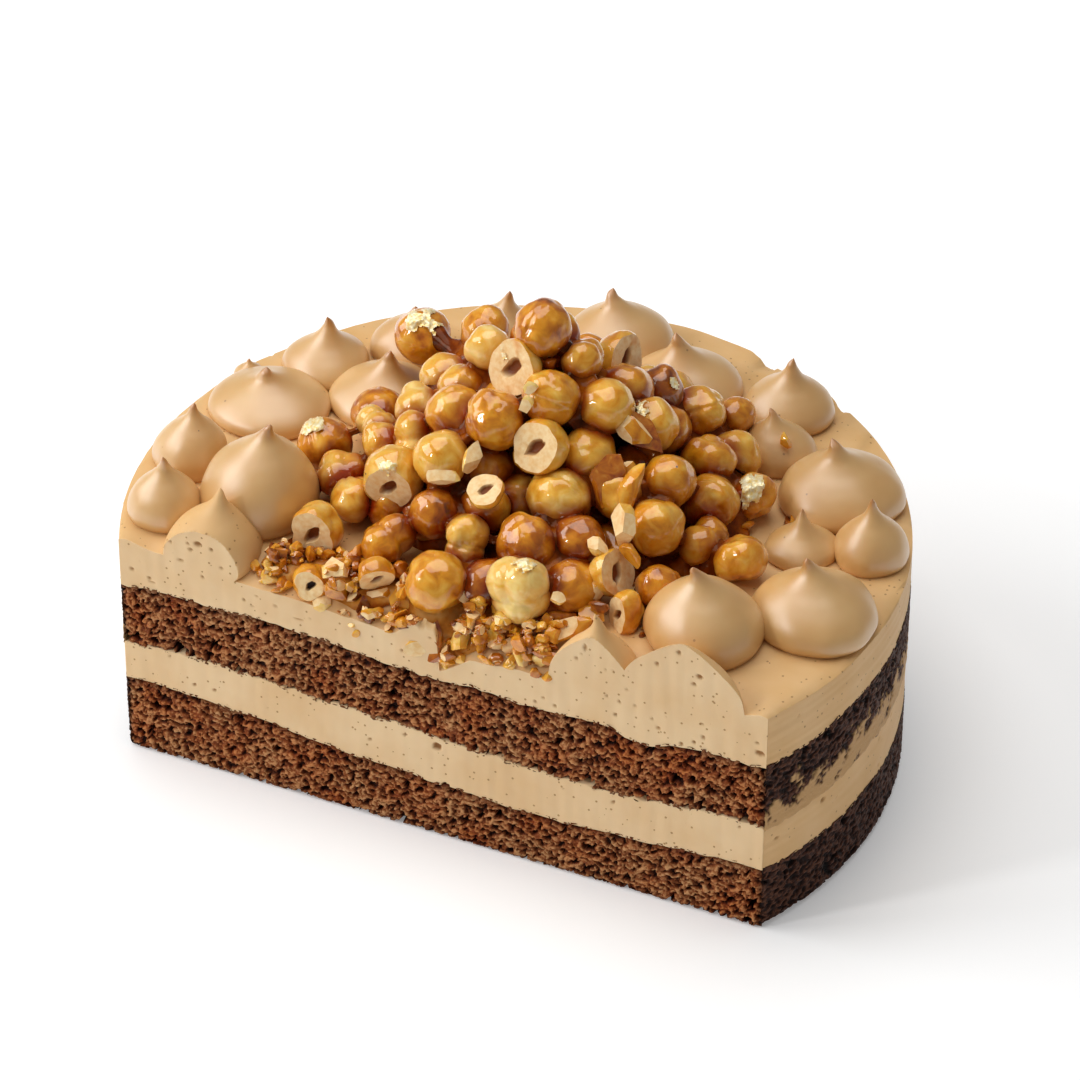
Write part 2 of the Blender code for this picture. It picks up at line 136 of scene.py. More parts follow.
def dress(tree, shader, colour, bump):
    """Feed a shader its colour and its bumps."""
    tree.links.new(colour, shader.inputs["Base Color"])
    tree.links.new(bump.outputs["Normal"], shader.inputs["Normal"])


def finish_piece(name, bm, materials, nodes=(), sharp=None):
    """Make a bmesh a smooth piece, which rides on the cake and stands for its CAD nodes."""
    mesh = bpy.data.meshes.new(name)
    bm.to_mesh(mesh)
    bm.free()
    for material in materials:
        mesh.materials.append(material)
    mesh.shade_smooth()
    if sharp:
        mesh.set_sharp_from_angle(angle=math.radians(sharp))
    piece = bpy.data.objects.new(name, mesh)
    bpy.context.scene.collection.objects.link(piece)
    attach(piece, "root")
    if nodes:
        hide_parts(*nodes)
    return piece


def new_layers(bm, *names):
    """Give a bmesh's points values that its material reads. Returns the layers that hold them."""
    for name in names:
        bm.verts.layers.float.new(name)
    return [bm.verts.layers.float[name] for name in names]


def clamp(value, low=0.0, high=1.0):
    return min(max(value, low), high)


def smooth_step(value):
    value = clamp(value)
    return value * value * (3 - 2 * value)


def along_cut(x, heights):
    """Height at x of a smooth line through heights in mm, evenly spaced along the cut."""
    place = clamp((x / HALF_CUT + 1) / 2 * (len(heights) - 1), 0, len(heights) - 1.001)
    first = int(place)
    share = smooth_step(place - first)
    return (heights[first] * (1 - share) + heights[first + 1] * share) * MM


def layer_height(heights, inner, ragged):
    """Height of a layer's border as a function of x and y: uneven at the cut, level deep inside."""
    def height(x, y):
        share = smooth_step((y - CUT_Y) / FADE)
        level = along_cut(x, heights) * (1 - share) + inner * MM * share
        spot = Vector((x, y, inner * MM))
        coarse = noise.noise(spot / (9 * MM)) * 0.5 * MM
        return level + coarse + noise.noise(spot / (2.4 * MM)) * ragged
    return height


def on_cut(spot):
    return spot.y < CUT_Y + 0.01 * MM


def outward(spot):
    """Direction out of the cake's wall at a spot: out of the cut, or away from the ring's middle."""
    if on_cut(spot):
        return Vector((0, -1, 0))
    return Vector((spot.x, spot.y - CENTRE_Y, 0)).normalized()


def slice_across(bm, point, normal, faces=None, clear=False):
    """Cut all faces, or the given ones, along a plane. Returns the faces that come of it."""
    if faces is None:
        geometry = bm.verts[:] + bm.edges[:] + bm.faces[:]
    else:
        edges = {edge for face in faces for edge in face.edges}
        geometry = list({vert for face in faces for vert in face.verts}) + list(edges) + list(faces)
    result = bmesh.ops.bisect_plane(bm, geom=geometry, dist=1e-7, plane_co=point, plane_no=normal,
                                    clear_outer=clear)
    return [item for item in result["geom"] if isinstance(item, bmesh.types.BMFace)]


def close_holes(bm):
    """Fill every open rim with a face. Returns the new faces."""
    rims = [edge for edge in bm.edges if edge.is_boundary]
    return bmesh.ops.holes_fill(bm, edges=rims, sides=0)["faces"]


def steps_between(low, high, step):
    return [low + step * (index + 0.5) for index in range(int((high - low) / step))]


def cake_outline(front, columns, rows):
    """Flat plate with the cake's outline, whose front edge is at a given y, cut into a grid."""
    bm = bmesh.new()
    bmesh.ops.create_circle(bm, cap_ends=True, segments=WALL_SIDES, radius=RADIUS,
                            matrix=Matrix.Translation((0, CENTRE_Y, 0)))
    slice_across(bm, (0, front, 0), (0, -1, 0), clear=True)
    for x in columns:
        slice_across(bm, (x, 0, 0), (1, 0, 0))
    for y in rows:
        slice_across(bm, (0, y, 0), (0, 1, 0))
    return bm


def raise_walls(bm, bottom, top, step):
    """Extrude a plate into a layer between two heights, its walls divided into small faces.

    Returns, for each point of the walls, how far it lies above the bottom and below the top."""
    result = bmesh.ops.extrude_face_region(bm, geom=bm.faces[:], use_keep_orig=True)
    upper = [item for item in result["geom"] if isinstance(item, bmesh.types.BMVert)]
    bmesh.ops.translate(bm, verts=upper, vec=(0, 0, 1))
    uprights = [edge for edge in bm.edges if abs(edge.verts[0].co.z - edge.verts[1].co.z) > 0.5]
    tall = max(top(v.co.x, v.co.y) - bottom(v.co.x, v.co.y) for v in upper)
    if tall > step:
        bmesh.ops.subdivide_edges(bm, edges=uprights, cuts=int(tall / step), use_grid_fill=True)
    bmesh.ops.recalc_face_normals(bm, faces=bm.faces)
    walls = {vert for face in bm.faces if abs(face.normal.z) < 0.5 for vert in face.verts}
    margins = {}
    for vert in bm.verts:
        share = vert.co.z
        low, high = bottom(vert.co.x, vert.co.y), top(vert.co.x, vert.co.y)
        vert.co.z = low * (1 - share) + high * share
        if vert in walls:
            margins[vert] = (vert.co.z - low, high - vert.co.z)
    return margins


def layer_plate(step):
    """Outline of a layer that is coarse inside and fine along the cut."""
    columns = steps_between(-RADIUS, RADIUS, LAYER_STEP)
    bm = cake_outline(CUT_Y, columns, steps_between(CUT_Y, cad_high.y, LAYER_STEP))
    front = [edge for edge in bm.edges if max(vert.co.y for vert in edge.verts) < CUT_Y + 0.01 * MM]
    bmesh.ops.subdivide_edges(bm, edges=front, cuts=int(LAYER_STEP / step))
    return bm


def crumb_depth(spot, openness):
    """How far torn crumb lies behind the knife's cut: crevices round clumps, pits and open holes."""
    place = spot + noise.noise_vector(spot / CRUMB_WARP) * 0.6 * MM
    place.z *= FLATTENED
    crevice = clamp(1 - noise.turbulence(place / CLUMP, 3, True) / 0.5)
    pit = smooth_step((noise.noise(place / PIT + Vector((7, 3, 5))) - 0.06) / 0.26)
    hole = smooth_step((noise.noise(place / HOLE + Vector((2, 9, 4))) - 0.43 + openness) / 0.12)
    return crevice * CLUMP_DEPTH + pit * PIT_DEPTH + hole * HOLE_DEPTH


def sponge_piece(name, bottom, top, node, openness, foot=0.0, smear=None):
    """Sponge layer with a torn crumb at the cut and a crust round its outside."""
    bm = layer_plate(CUT_STEP)
    crumb, border, crust, smeared = new_layers(bm, "crumb", "border", "crust", "smear")
    for vert, (above, below) in raise_walls(bm, bottom, top, CUT_STEP).items():
        spot = vert.co.copy()
        depth = crumb_depth(spot, openness(spot, above))
        corner = smooth_step(1 - (HALF_CUT - abs(spot.x)) / (1.6 * MM)) if on_cut(spot) else 0.0
        if not on_cut(spot):
            depth *= CRUST_SHARE
            vert[smeared] = smear(spot, above / (above + below)) if smear else 0.0
            depth *= 1 - vert[smeared]
        # The crumb value is painted shade: 1 on the crests, falling to 0 where the crumb lies deep.
        vert[crumb] = clamp(1 - depth / (1.7 * MM if on_cut(spot) else 0.8 * MM))
        vert[border] = max(clamp(1 - below / SOAKED_BAND), clamp(1 - above / CRUST_BAND))
        vert[crust] = corner * 0.8 if on_cut(spot) else 1.0
        if foot and above < foot:
            fallen = clamp(1 - above / foot)
            depth += foot * (1 - math.sqrt(1 - fallen ** 2)) * (0.35 if on_cut(spot) else 1.0)
        depth += corner * 0.5 * MM
        vert.co = spot - outward(spot) * depth + noise.noise_vector(spot / (0.9 * MM)) * 0.16 * MM
        vert.co.z = max(vert.co.z, 0.0)
    return finish_piece(name, bm, [baked_sponge], [node])


# Baked chocolate sponge: matt, with painted shade from light on the crests of its crumb to almost black
# in the pores, and small moist glints where syrup lies. The crust outside is darker and greyer, with the
# same painted shade in its pits.
baked_sponge, tree, shader, place = start_material("baked_chocolate_sponge", {
    "Roughness": 0.6, "Specular IOR Level": 0.1})
pit_shade_level, border_level, crust_level, smear_level = [
    add_node(tree, "Attribute", attribute_name=name).outputs["Fac"]
    for name in ("crumb", "border", "crust", "smear")]
fine = add_node(tree, "TexNoise", {"Vector": place, "Scale": 1 / (0.9 * MM), "Detail": 3.0,
                                   "Roughness": 0.7})
broad = add_node(tree, "TexNoise", {"Vector": place, "Scale": 1 / (9 * MM), "Detail": 2.0})
lifted = add_node(tree, "Math", {0: fine, 1: 0.9, 2: -0.45}, operation="MULTIPLY_ADD")
# Painted shade: the crumb value darkens the pits, and fine noise varies the tone at random.
tone_with_pit_shade = add_node(tree, "Math", {0: pit_shade_level, 1: lifted}, operation="ADD", use_clamp=True)
inside = add_node(tree, "ValToRGB", {"Fac": tone_with_pit_shade}, stops=(
    (0.0, "#100401"), (0.3, "#34140A"), (0.58, "#6C361C"), (0.82, "#965830"), (1.0, "#C49060")))
outside = add_node(tree, "ValToRGB", {"Fac": tone_with_pit_shade}, stops=(
    (0.0, "#080302"), (0.5, "#1E0A04"), (0.8, "#33170B"), (1.0, "#5A3522")))
red_patches = add_node(tree, "ValToRGB", {"Fac": broad}, stops=(
    (0.38, "#FFFFFF"), (0.68, "#F4C8A4")))
reddened = mixed(tree, 1.0, inside, red_patches, "MULTIPLY")
soaked = mixed(tree, border_level, reddened, mixed(tree, 1.0, reddened, linear("#96837E"), "MULTIPLY"))
crusted = mixed(tree, crust_level, soaked, outside)
glints = add_node(tree, "ValToRGB", {"Fac": fine}, stops=((0.62, "#B4B4B4"), (0.7, "#505050")))
tree.links.new(glints.outputs["Color"], shader.inputs["Roughness"])
bump = add_node(tree, "Bump", {"Height": fine, "Strength": 0.7, "Distance": 0.3 * MM})
dress(tree, shader, mixed(tree, smear_level, crusted, linear("#C39A68")), bump)


def bottom_openness(spot, above):
    return noise.noise(spot / (11 * MM)) * 0.06 - 0.02


def flat_floor(x, y):
    return 0.0


bottom_sponge_top = layer_height(BOTTOM_SPONGE_TOP, BOTTOM_SPONGE_INNER, 0.35 * MM)
sponge_piece("bottom_sponge", flat_floor, bottom_sponge_top, "sponge_bottom", bottom_openness,
             foot=FOOT_ROUND)

# Upper sponge
# The same sponge, laid on the lower mousse. It is more open and torn, with holes a few millimetres
# wide low on its left. Mousse pressed up past its lower edge is smeared over its outside.
LOWER_MOUSSE_TOP = (30.0, 30.6, 31.0, 30.5, 30.0, 29.4, 28.8, 28.4, 27.9, 27.3, 26.8, 26.2, 26.2, 26.9,
                    27.7, 28.9, 28.2)
LOWER_MOUSSE_INNER = 29.5
UPPER_SPONGE_TOP = (47.2, 47.8, 48.0, 48.0, 47.8, 47.2, 46.7, 45.7, 45.3, 45.6, 45.1, 45.2, 45.6, 43.0,
                    45.6, 46.2, 46.0)
UPPER_SPONGE_INNER = 47.8
lower_mousse_top = layer_height(LOWER_MOUSSE_TOP, LOWER_MOUSSE_INNER, 0.8 * MM)
upper_sponge_top = layer_height(UPPER_SPONGE_TOP, UPPER_SPONGE_INNER, 0.6 * MM)


def upper_openness(spot, above):
    left = smooth_step((-48 * MM - spot.x) / (12 * MM)) * smooth_step(1 - above / (11 * MM))
    low = smooth_step(1 - above / (5 * MM))
    return noise.noise(spot / (9 * MM)) * 0.1 + 0.12 * left + 0.06 * low


def pressed_mousse(spot, share):
    patches = noise.noise(spot / (4 * MM)) * 0.55 + noise.noise(spot / (0.9 * MM)) * 0.3
    return smooth_step((0.42 - share + patches) / 0.16)


sponge_piece("upper_sponge", lower_mousse_top, upper_sponge_top, "sponge_upper", upper_openness,
             smear=pressed_mousse)

# Lower mousse
# Coffee mousse, spread between the sponges: whipped, so the knife opened small air bubbles in it and
# left faint ripples. It reaches a little into the crumb above and below it.
REACH = 0.5 * MM
MOUSSE_STEP = 0.4 * MM
RIPPLE = 0.14 * MM
SMALL_BUBBLE = 2.2 * MM
LARGE_BUBBLE = 7.0 * MM
BUBBLE_SHADE_DEPTH = 0.45 * MM
LOWER_BUBBLES = 0.1


def bubble_depth(spot, size, share):
    """Depth of the air bubbles that the knife opened: a share of a random grid's cells hold one."""
    distances, places = noise.voronoi(spot / size)
    chance = abs(noise.cell(places[0] * 9.7))
    if chance > share:
        return 0.0
    reach = 0.1 + 0.14 * (1 - chance / share)
    return math.sqrt(max(1 - (distances[0] / reach) ** 2, 0.0)) * reach * size


def mousse_depth(spot, share):
    if on_cut(spot):
        ripple = noise.noise(Vector((spot.x / (2.6 * MM), 0, spot.z / (16 * MM))))
    else:
        ripple = noise.noise(Vector((spot.x / (22 * MM), spot.y / (22 * MM), spot.z / (1.6 * MM))))
    bubbles = bubble_depth(spot, SMALL_BUBBLE, share) + bubble_depth(spot, LARGE_BUBBLE, share * 0.5)
    return 0.2 * MM + ripple * RIPPLE, bubbles


def mousse_layer(name, bottom, top, node, share):
    bm = layer_plate(MOUSSE_STEP)
    knifed, bubble_shade = new_layers(bm, "knifed", "bubble_shade")
    for vert in raise_walls(bm, bottom, top, MOUSSE_STEP):
        spot = vert.co.copy()
        shallow, bubble = mousse_depth(spot, share)
        vert[knifed] = 1.0 if on_cut(spot) else 0.0
        # Painted shade: the deeper an opened bubble, the darker its colour.
        vert[bubble_shade] = clamp(bubble / BUBBLE_SHADE_DEPTH)
        vert.co = spot - outward(spot) * (shallow + bubble)
    return finish_piece(name, bm, [whipped_mousse], [node])


def dotted(tree, place, spacing, radius, share, colour, base):
    """Colour with small dark dots in a share of the cells of a random grid, and the dots' mask."""
    cells = add_node(tree, "TexVoronoi", {"Vector": place, "Scale": 1 / spacing, "Randomness": 1.0})
    near = add_node(tree, "Math", {0: cells, 1: radius / spacing}, operation="LESS_THAN")
    chosen = add_node(tree, "Math", {0: cells.outputs["Color"], 1: share}, operation="LESS_THAN")
    mask = add_node(tree, "Math", {0: near, 1: chosen}, operation="MULTIPLY").outputs[0]
    return mixed(tree, mask, base, linear(colour)), mask


# Whipped coffee mousse: matt and pale tan, a little see-through, with pores half a millimetre wide
# that are painted brown as shade, opened bubbles painted darker with their depth as shade, and a few
# specks of ground coffee. Where the knife didn't open it, it is a deeper tan.
whipped_mousse, tree, shader, place = start_material("whipped_coffee_mousse", {
    "Roughness": 0.55, "Subsurface Weight": 0.12, "Subsurface Radius": (1.0, 0.6, 0.35),
    "Subsurface Scale": 1.2 * MM})
knifed_level, bubble_shade_level = [add_node(tree, "Attribute", attribute_name=name).outputs["Fac"]
                            for name in ("knifed", "bubble_shade")]
broad = add_node(tree, "TexNoise", {"Vector": place, "Scale": 1 / (12 * MM), "Detail": 3.0})
opened = add_node(tree, "ValToRGB", {"Fac": broad}, stops=((0.3, "#E9C99B"), (0.7, "#E1BB88")))
levelled = add_node(tree, "ValToRGB", {"Fac": broad}, stops=((0.3, "#E0B67E"), (0.7, "#D8AA6C")))
tint = mixed(tree, knifed_level, levelled, opened)
# Painted shade: opened bubbles darken with their depth, and small pores are darker dots.
sunk = mixed(tree, bubble_shade_level, tint, linear("#A8763E"))
pores_with_painted_shade, pores = dotted(tree, place, 1.7 * MM, 0.27 * MM, 0.45, "#B08550", sunk)
specked = dotted(tree, place, 5 * MM, 0.2 * MM, 0.3, "#6A4022", pores_with_painted_shade)[0]
bump = add_node(tree, "Bump", {"Height": pores, "Strength": 0.6, "Distance": 0.2 * MM}, invert=True)
dress(tree, shader, specked, bump)

mousse_layer("lower_mousse", lambda x, y: bottom_sponge_top(x, y) - REACH,
             lambda x, y: lower_mousse_top(x, y) + REACH, "mousse_lower", LOWER_BUBBLES)

# Piped dollops
# Coffee cream from a plain round nozzle: each swells at the foot, closes to a point where the bag was
# pulled away, and its tip curls. They stand on the top mousse and press against each other.
CREAM_TOP = 60 * MM
SUNK = 0.6 * MM
DOLLOP_SIDES = 112
FULL_OUTLINE = ((0.90, 0.0), (0.985, 0.09), (1.0, 0.2), (0.95, 0.36), (0.82, 0.52), (0.61, 0.66),
                (0.37, 0.77), (0.19, 0.86), (0.10, 0.93), (0.06, 0.975), (0.0, 1.0))
SLIM_OUTLINE = ((0.90, 0.0), (0.98, 0.06), (1.0, 0.13), (0.93, 0.24), (0.78, 0.34), (0.59, 0.44),
                (0.41, 0.54), (0.26, 0.66), (0.15, 0.79), (0.085, 0.90), (0.0, 1.0))
OUTLINE_CUTS = 5
# Each row: place, radius, height and lean of the tip in mm, then how full the outline is.
DOLLOPS = (
    (-7.3, 50.4, 13.4, 15.8, -1.4, 1.2, 0.45), (-33, 41, 10, 15.3, 2, 0.5, 0.4),
    (14.4, 40.4, 13.8, 15.9, -2.7, 0.2, 0.15), (40.2, 41.2, 10.9, 15.8, 0.9, 0.6, 0.3),
    (44.8, 24.2, 9, 13.4, -2.2, -0.7, 0.6), (64.3, 14.4, 14.5, 16.9, -2.5, -0.6, 0.45),
    (78.3, -3.2, 8.4, 16.4, -0.2, -0.3, 0.5), (63.5, -7.9, 8.3, 11.5, -0.8, 0.6, 0),
    (75.4, -30.8, 14.1, 17.3, -1.4, -0.1, 0.46), (55.5, -45.8, 13.1, 19.5, -2, -1.1, 0.68),
    (-73.9, -53.5, 8.6, 16.1, 0.5, 0, 0.57), (-55, -43.7, 13.6, 23.5, 2.9, 1.6, 0.96),
    (-77.8, -33.5, 8.9, 16.2, 1.5, 0.9, 0.74), (-71.2, -6.5, 14.2, 11.8, -0.4, -0.3, 0.43),
    (-48.2, 7.3, 13.2, 14.2, 1.8, 1, 0.2), (-66.3, 13.9, 10.5, 14.9, 0.9, 0.7, 0.2),
    (-51.4, 28.7, 9.7, 13, 1.1, 0.4, 0.65), (-81.8, 3.8, 3.8, 4.8, 0.3, 0, 0.5),
    (-33.5, 20.5, 8.2, 10.5, 1, 0.5, 0.4))


def between(points, cuts):
    """Points of a smooth line through the given ones, with cuts more between each two."""
    line = []
    for index in range(len(points) - 1):
        before, start = Vector(points[max(index - 1, 0)]), Vector(points[index])
        end, after = Vector(points[index + 1]), Vector(points[min(index + 2, len(points) - 1)])
        for cut in range(cuts + 1):
            t = cut / (cuts + 1)
            line.append(0.5 * (2 * start + (end - before) * t
                               + (2 * before - 5 * start + 4 * end - after) * t ** 2
                               + (3 * start - before - 3 * end + after) * t ** 3))
    return line + [Vector(points[-1])]


def outline_between(full):
    """Outline of a dollop between the slimmest, 0, and the fullest, 1."""
    return [(slim[0] * (1 - full) + round_one[0] * full, slim[1] * (1 - full) + round_one[1] * full)
            for slim, round_one in zip(SLIM_OUTLINE, FULL_OUTLINE)]


def add_dollop(bm, x, y, base, radius, height, lean, outline):
    """Spin a dollop's outline, then lean its tip over and press its round a little out of shape."""
    tip_layer, = new_layers(bm, "tip")
    old = set(bm.verts)
    line = [bm.verts.new((point[0] * radius, 0, point[1] * height))
            for point in between(outline, OUTLINE_CUTS)]
    edges = [bm.edges.new(pair) for pair in zip(line, line[1:])]
    bmesh.ops.spin(bm, geom=line + edges, cent=(0, 0, 0), axis=(0, 0, 1), angle=math.tau,
                   steps=DOLLOP_SIDES, use_merge=True, dvec=(0, 0, 0))
    fresh = [vert for vert in bm.verts if vert not in old]
    bmesh.ops.remove_doubles(bm, verts=fresh, dist=0.002 * MM)
    fresh = [vert for vert in bm.verts if vert not in old]
    close_holes(bm)
    seed = Vector((x, y, 0)) / (7 * MM)
    for vert in fresh:
        share = vert.co.z / height
        round_way = Vector((vert.co.x, vert.co.y, 0)) / radius
        swell = 1 + 0.09 * noise.noise(round_way * 0.9 + seed)
        swell += 0.03 * noise.noise(round_way * 2.2 + seed)
        wave = 0.012 * noise.noise(Vector((round_way.x, round_way.y, share * 5)) + seed)
        vert.co.x *= swell + wave
        vert.co.y *= swell + wave
        tip = smooth_step((share - 0.72) / 0.28)
        bend = Vector(lean) * share ** 2
        curl = tip * 0.12 * radius
        vert.co.x += x + bend.x + noise.noise(seed + Vector((share * 3, 0, 1))) * curl
        vert.co.y += y + bend.y + noise.noise(seed + Vector((0, share * 3, 5))) * curl
        vert.co.z += base
        vert[tip_layer] = smooth_step((share - 0.8) / 0.2)


# Piped coffee cream: satin with a soft white sheen, smoother than the mousse, with small burst bubbles
# whose dents are painted darker as shade, and fine specks. The tips are darker towards the point.
piped_cream, tree, shader, place = start_material("piped_coffee_cream", {
    "Roughness": 0.45, "Coat Weight": 1.0, "Coat IOR": 1.85, "Coat Roughness": 0.4,
    "Subsurface Weight": 0.15, "Subsurface Radius": (1.0, 0.55, 0.3), "Subsurface Scale": 1.5 * MM})
broad = add_node(tree, "TexNoise", {"Vector": place, "Scale": 1 / (10 * MM), "Detail": 2.0})
tint = add_node(tree, "ValToRGB", {"Fac": broad}, stops=((0.3, "#DCAF6E"), (0.7, "#D4A25E")))
tip_level = add_node(tree, "Attribute", attribute_name="tip").outputs["Fac"]
# The tips are darker towards the point.
tip_darkened = mixed(tree, tip_level, tint, linear("#BC803F"))
# Painted shade: the burst bubbles are darker dots, also dented by the bump below.
pores_with_painted_shade, pores = dotted(tree, place, 3.6 * MM, 0.3 * MM, 0.22, "#B08048", tip_darkened)
specked = dotted(tree, place, 6 * MM, 0.17 * MM, 0.35, "#5C3A20", pores_with_painted_shade)[0]
skin = add_node(tree, "TexNoise", {"Vector": place, "Scale": 1 / (3 * MM), "Detail": 3.0})
skin_bump = add_node(tree, "Bump", {"Height": skin, "Strength": 0.12, "Distance": 0.4 * MM})
bump = add_node(tree, "Bump", {"Height": pores, "Strength": 0.8, "Distance": 0.25 * MM,
                               "Normal": skin_bump}, invert=True)
dress(tree, shader, specked, bump)

for number, (x, y, radius, height, lean_x, lean_y, full) in enumerate(DOLLOPS, start=1):
    bm = bmesh.new()
    add_dollop(bm, x * MM, y * MM, CREAM_TOP - SUNK, radius * MM, height * MM + SUNK,
               (lean_x * MM, lean_y * MM), outline_between(full))
    finish_piece(f"piped_dollop_{number:02d}", bm, [piped_cream],
                 [f"dollop_{number:02d}"])

# Top mousse
# The thickest layer of coffee mousse, levelled with a palette knife. The knife that cut the cake went
# through three of its dollops, which run into the cut face without a border, sank the edge between
# them, and tore a flap of mousse up where the nuts are. Air bubbles lie open in the cut.
# Each row: place, radius, height and lean of the tip in mm, then the outline.
CUT_DOLLOPS = (
    (58.8, -72.3, 15.6, 16.9, 0.3, 5.6, ((0.92, 0.0), (0.99, 0.09), (1.0, 0.2), (0.94, 0.36), (0.8, 0.52),
                                         (0.6, 0.67), (0.4, 0.8), (0.2, 0.91), (0.0, 1.0))),
    (37.6, -64.8, 10.2, 19.4, 0.3, 1.5, outline_between(0.65)),
    (-57.9, -60.6, 11.3, 17.6, 1.7, 2.2, outline_between(0.65)))
TOP_SURFACE = (60.0, 58.5, 57.3, 56.4, 56.1, 55.6, 54.9, 54.0, 53.5, 52.6, 53.4, 52.8, 53.5, 55.5, 56.8,
               57.6, 59.9)
SURFACE_FADE = 9 * MM
RIM_CHIPS = ((28, 62.2, 6.5, 2.6), (50, 51.3, 4, 1.6))
PAST_CUT = 8 * MM
CUT_SUNK = 1.5 * MM
ROWS_INTO = (-4, -1.5, 0.4, 0.8, 1.2, 1.7, 2.3, 3, 4, 5, 7, 9.5, 13, 18, 25, 33, 42, 52, 64, 78, 92,
             108, 121)
SCORE_STEP = 0.36 * MM
SCORE_LOW, SCORE_HIGH = 42 * MM, 76 * MM
BREAK_LEFT = 0.2 * MM
BREAK_RIGHT = 8.6 * MM
BREAK_DEPTH = 7.4 * MM
FLAP_LEFT = -11.5 * MM
FLAP_RISE = 5.6 * MM
# Each row: x and height in the cut, width and height in mm.
OPEN_BUBBLES = (
    (-58.7, 64, 2.2, 1.3), (-60.6, 62, 1.4, 0.9), (-61.2, 63.5, 0.9, 0.8), (-65.6, 62.7, 0.8, 0.8),
    (-63.3, 58.2, 2.0, 0.7), (-53, 59.1, 0.9, 0.8), (-76, 51.9, 1.4, 0.9), (-71, 49.8, 2, 0.6),
    (-39.6, 52.8, 1.3, 0.6), (-44.3, 54, 0.9, 0.6), (-33.9, 50.8, 2.6, 0.6), (-31, 51.8, 0.8, 0.5),
    (-45.4, 50.9, 0.9, 0.5), (36, 65, 0.9, 2.2), (34, 61.5, 0.8, 1.1), (58, 70.6, 1.0, 1.4),
    (53, 66, 1.0, 1.1), (63, 65.6, 1.6, 1.3), (61.7, 63.2, 1.2, 1.0), (46, 56.7, 0.9, 0.6),
    (48, 52.8, 0.9, 0.6), (41, 60.6, 0.6, 0.6), (77.5, 49.3, 2.4, 1.4))


def mousse_surface(x, y):
    into = y - CUT_Y
    share = clamp(into / SURFACE_FADE)
    level = along_cut(x, TOP_SURFACE) * (1 - share) + CREAM_TOP * share
    spot = Vector((x, y, 0))
    level += noise.noise(spot / (13 * MM)) * 0.4 * MM + noise.noise(spot / (3 * MM)) * 0.08 * MM
    rough = 1 + 0.5 * noise.noise(spot / (2.2 * MM)) + 0.3 * noise.noise(spot / (0.8 * MM))
    fallen = smooth_step((x - BREAK_LEFT) / (0.8 * MM))
    fallen *= clamp((BREAK_RIGHT - x) / (BREAK_RIGHT - BREAK_LEFT))
    level -= BREAK_DEPTH * fallen * smooth_step(1 - into / (6 * MM))
    lifted = smooth_step((x - FLAP_LEFT) / (6 * MM))
    lifted *= smooth_step((BREAK_LEFT + 0.6 * MM - x) / (1.2 * MM))
    level += FLAP_RISE * lifted * smooth_step(1 - abs(into - 0.8 * MM) / (1.9 * MM)) * rough
    rim = RADIUS - math.hypot(x, y - CENTRE_Y)
    for chip_x, chip_y, size, drop in RIM_CHIPS:
        away = math.hypot(x - chip_x * MM, y - chip_y * MM) / (size * MM)
        level -= drop * MM * smooth_step(1 - away) * rough * smooth_step(1 - rim / (4 * MM))
    return level - 0.7 * MM * smooth_step(1 - rim / (1.3 * MM))


def solid_object(bm):
    mesh = bpy.data.meshes.new("solid")
    bm.to_mesh(mesh)
    bm.free()
    solid = bpy.data.objects.new("solid", mesh)
    bpy.context.scene.collection.objects.link(solid)
    return solid


def taken_back(solid):
    """Bmesh of an object with its modifiers applied, which is then removed."""
    bm = bmesh.new()
    bm.from_object(solid, bpy.context.evaluated_depsgraph_get())
    bpy.data.objects.remove(solid)
    return bm


def joined(body, additions):
    """One closed skin round a bmesh and the solids added to it."""
    solid = solid_object(body)
    others = [solid_object(addition) for addition in additions]
    for other in others:
        union = solid.modifiers.new("union", "BOOLEAN")
        union.operation = "UNION"
        union.solver = "EXACT"
        union.object = other
    bm = taken_back(solid)
    for other in others:
        bpy.data.objects.remove(other)
    return bm


columns = steps_between(-RADIUS, RADIUS, 1.5 * MM) + steps_between(FLAP_LEFT, BREAK_RIGHT, 0.55 * MM)
rows = [CUT_Y + into * MM for into in ROWS_INTO]
bm = cake_outline(CUT_Y - PAST_CUT, columns, rows)
raise_walls(bm, lambda x, y: upper_sponge_top(x, y) - REACH, mousse_surface, CREAM_TOP)
cut_ones = []
for x, y, radius, height, lean_x, lean_y, outline in CUT_DOLLOPS:
    base = mousse_surface(x * MM, CUT_Y) - CUT_SUNK
    one = bmesh.new()
    add_dollop(one, x * MM, y * MM, base, radius * MM, height * MM + CUT_SUNK,
               (lean_x * MM, lean_y * MM), outline)
    bmesh.ops.recalc_face_normals(one, faces=one.faces)
    cut_ones.append(one)
bm = joined(bm, cut_ones)
slice_across(bm, (0, CUT_Y, 0), (0, -1, 0), clear=True)
face_strip = close_holes(bm)
strips = []
for x in steps_between(-HALF_CUT, HALF_CUT, SCORE_STEP):
    pieces = slice_across(bm, (x, 0, 0), (1, 0, 0), faces=face_strip)
    face_strip = [face for face in pieces if face.calc_center_median().x > x]
    strips += [face for face in pieces if face.calc_center_median().x <= x]
strips += face_strip
for z in steps_between(SCORE_LOW, SCORE_HIGH, SCORE_STEP):
    pieces = slice_across(bm, (0, 0, z), (0, 0, 1), faces=strips)
    strips = [face for face in pieces if face.calc_center_median().z > z]
uprights = [edge for edge in bm.edges if abs(edge.verts[0].co.z - edge.verts[1].co.z) > 5 * MM]
bmesh.ops.subdivide_edges(bm, edges=uprights, cuts=int(CREAM_TOP / 4 / MOUSSE_STEP), use_grid_fill=True)
knifed, bubble_shade = new_layers(bm, "knifed", "bubble_shade")
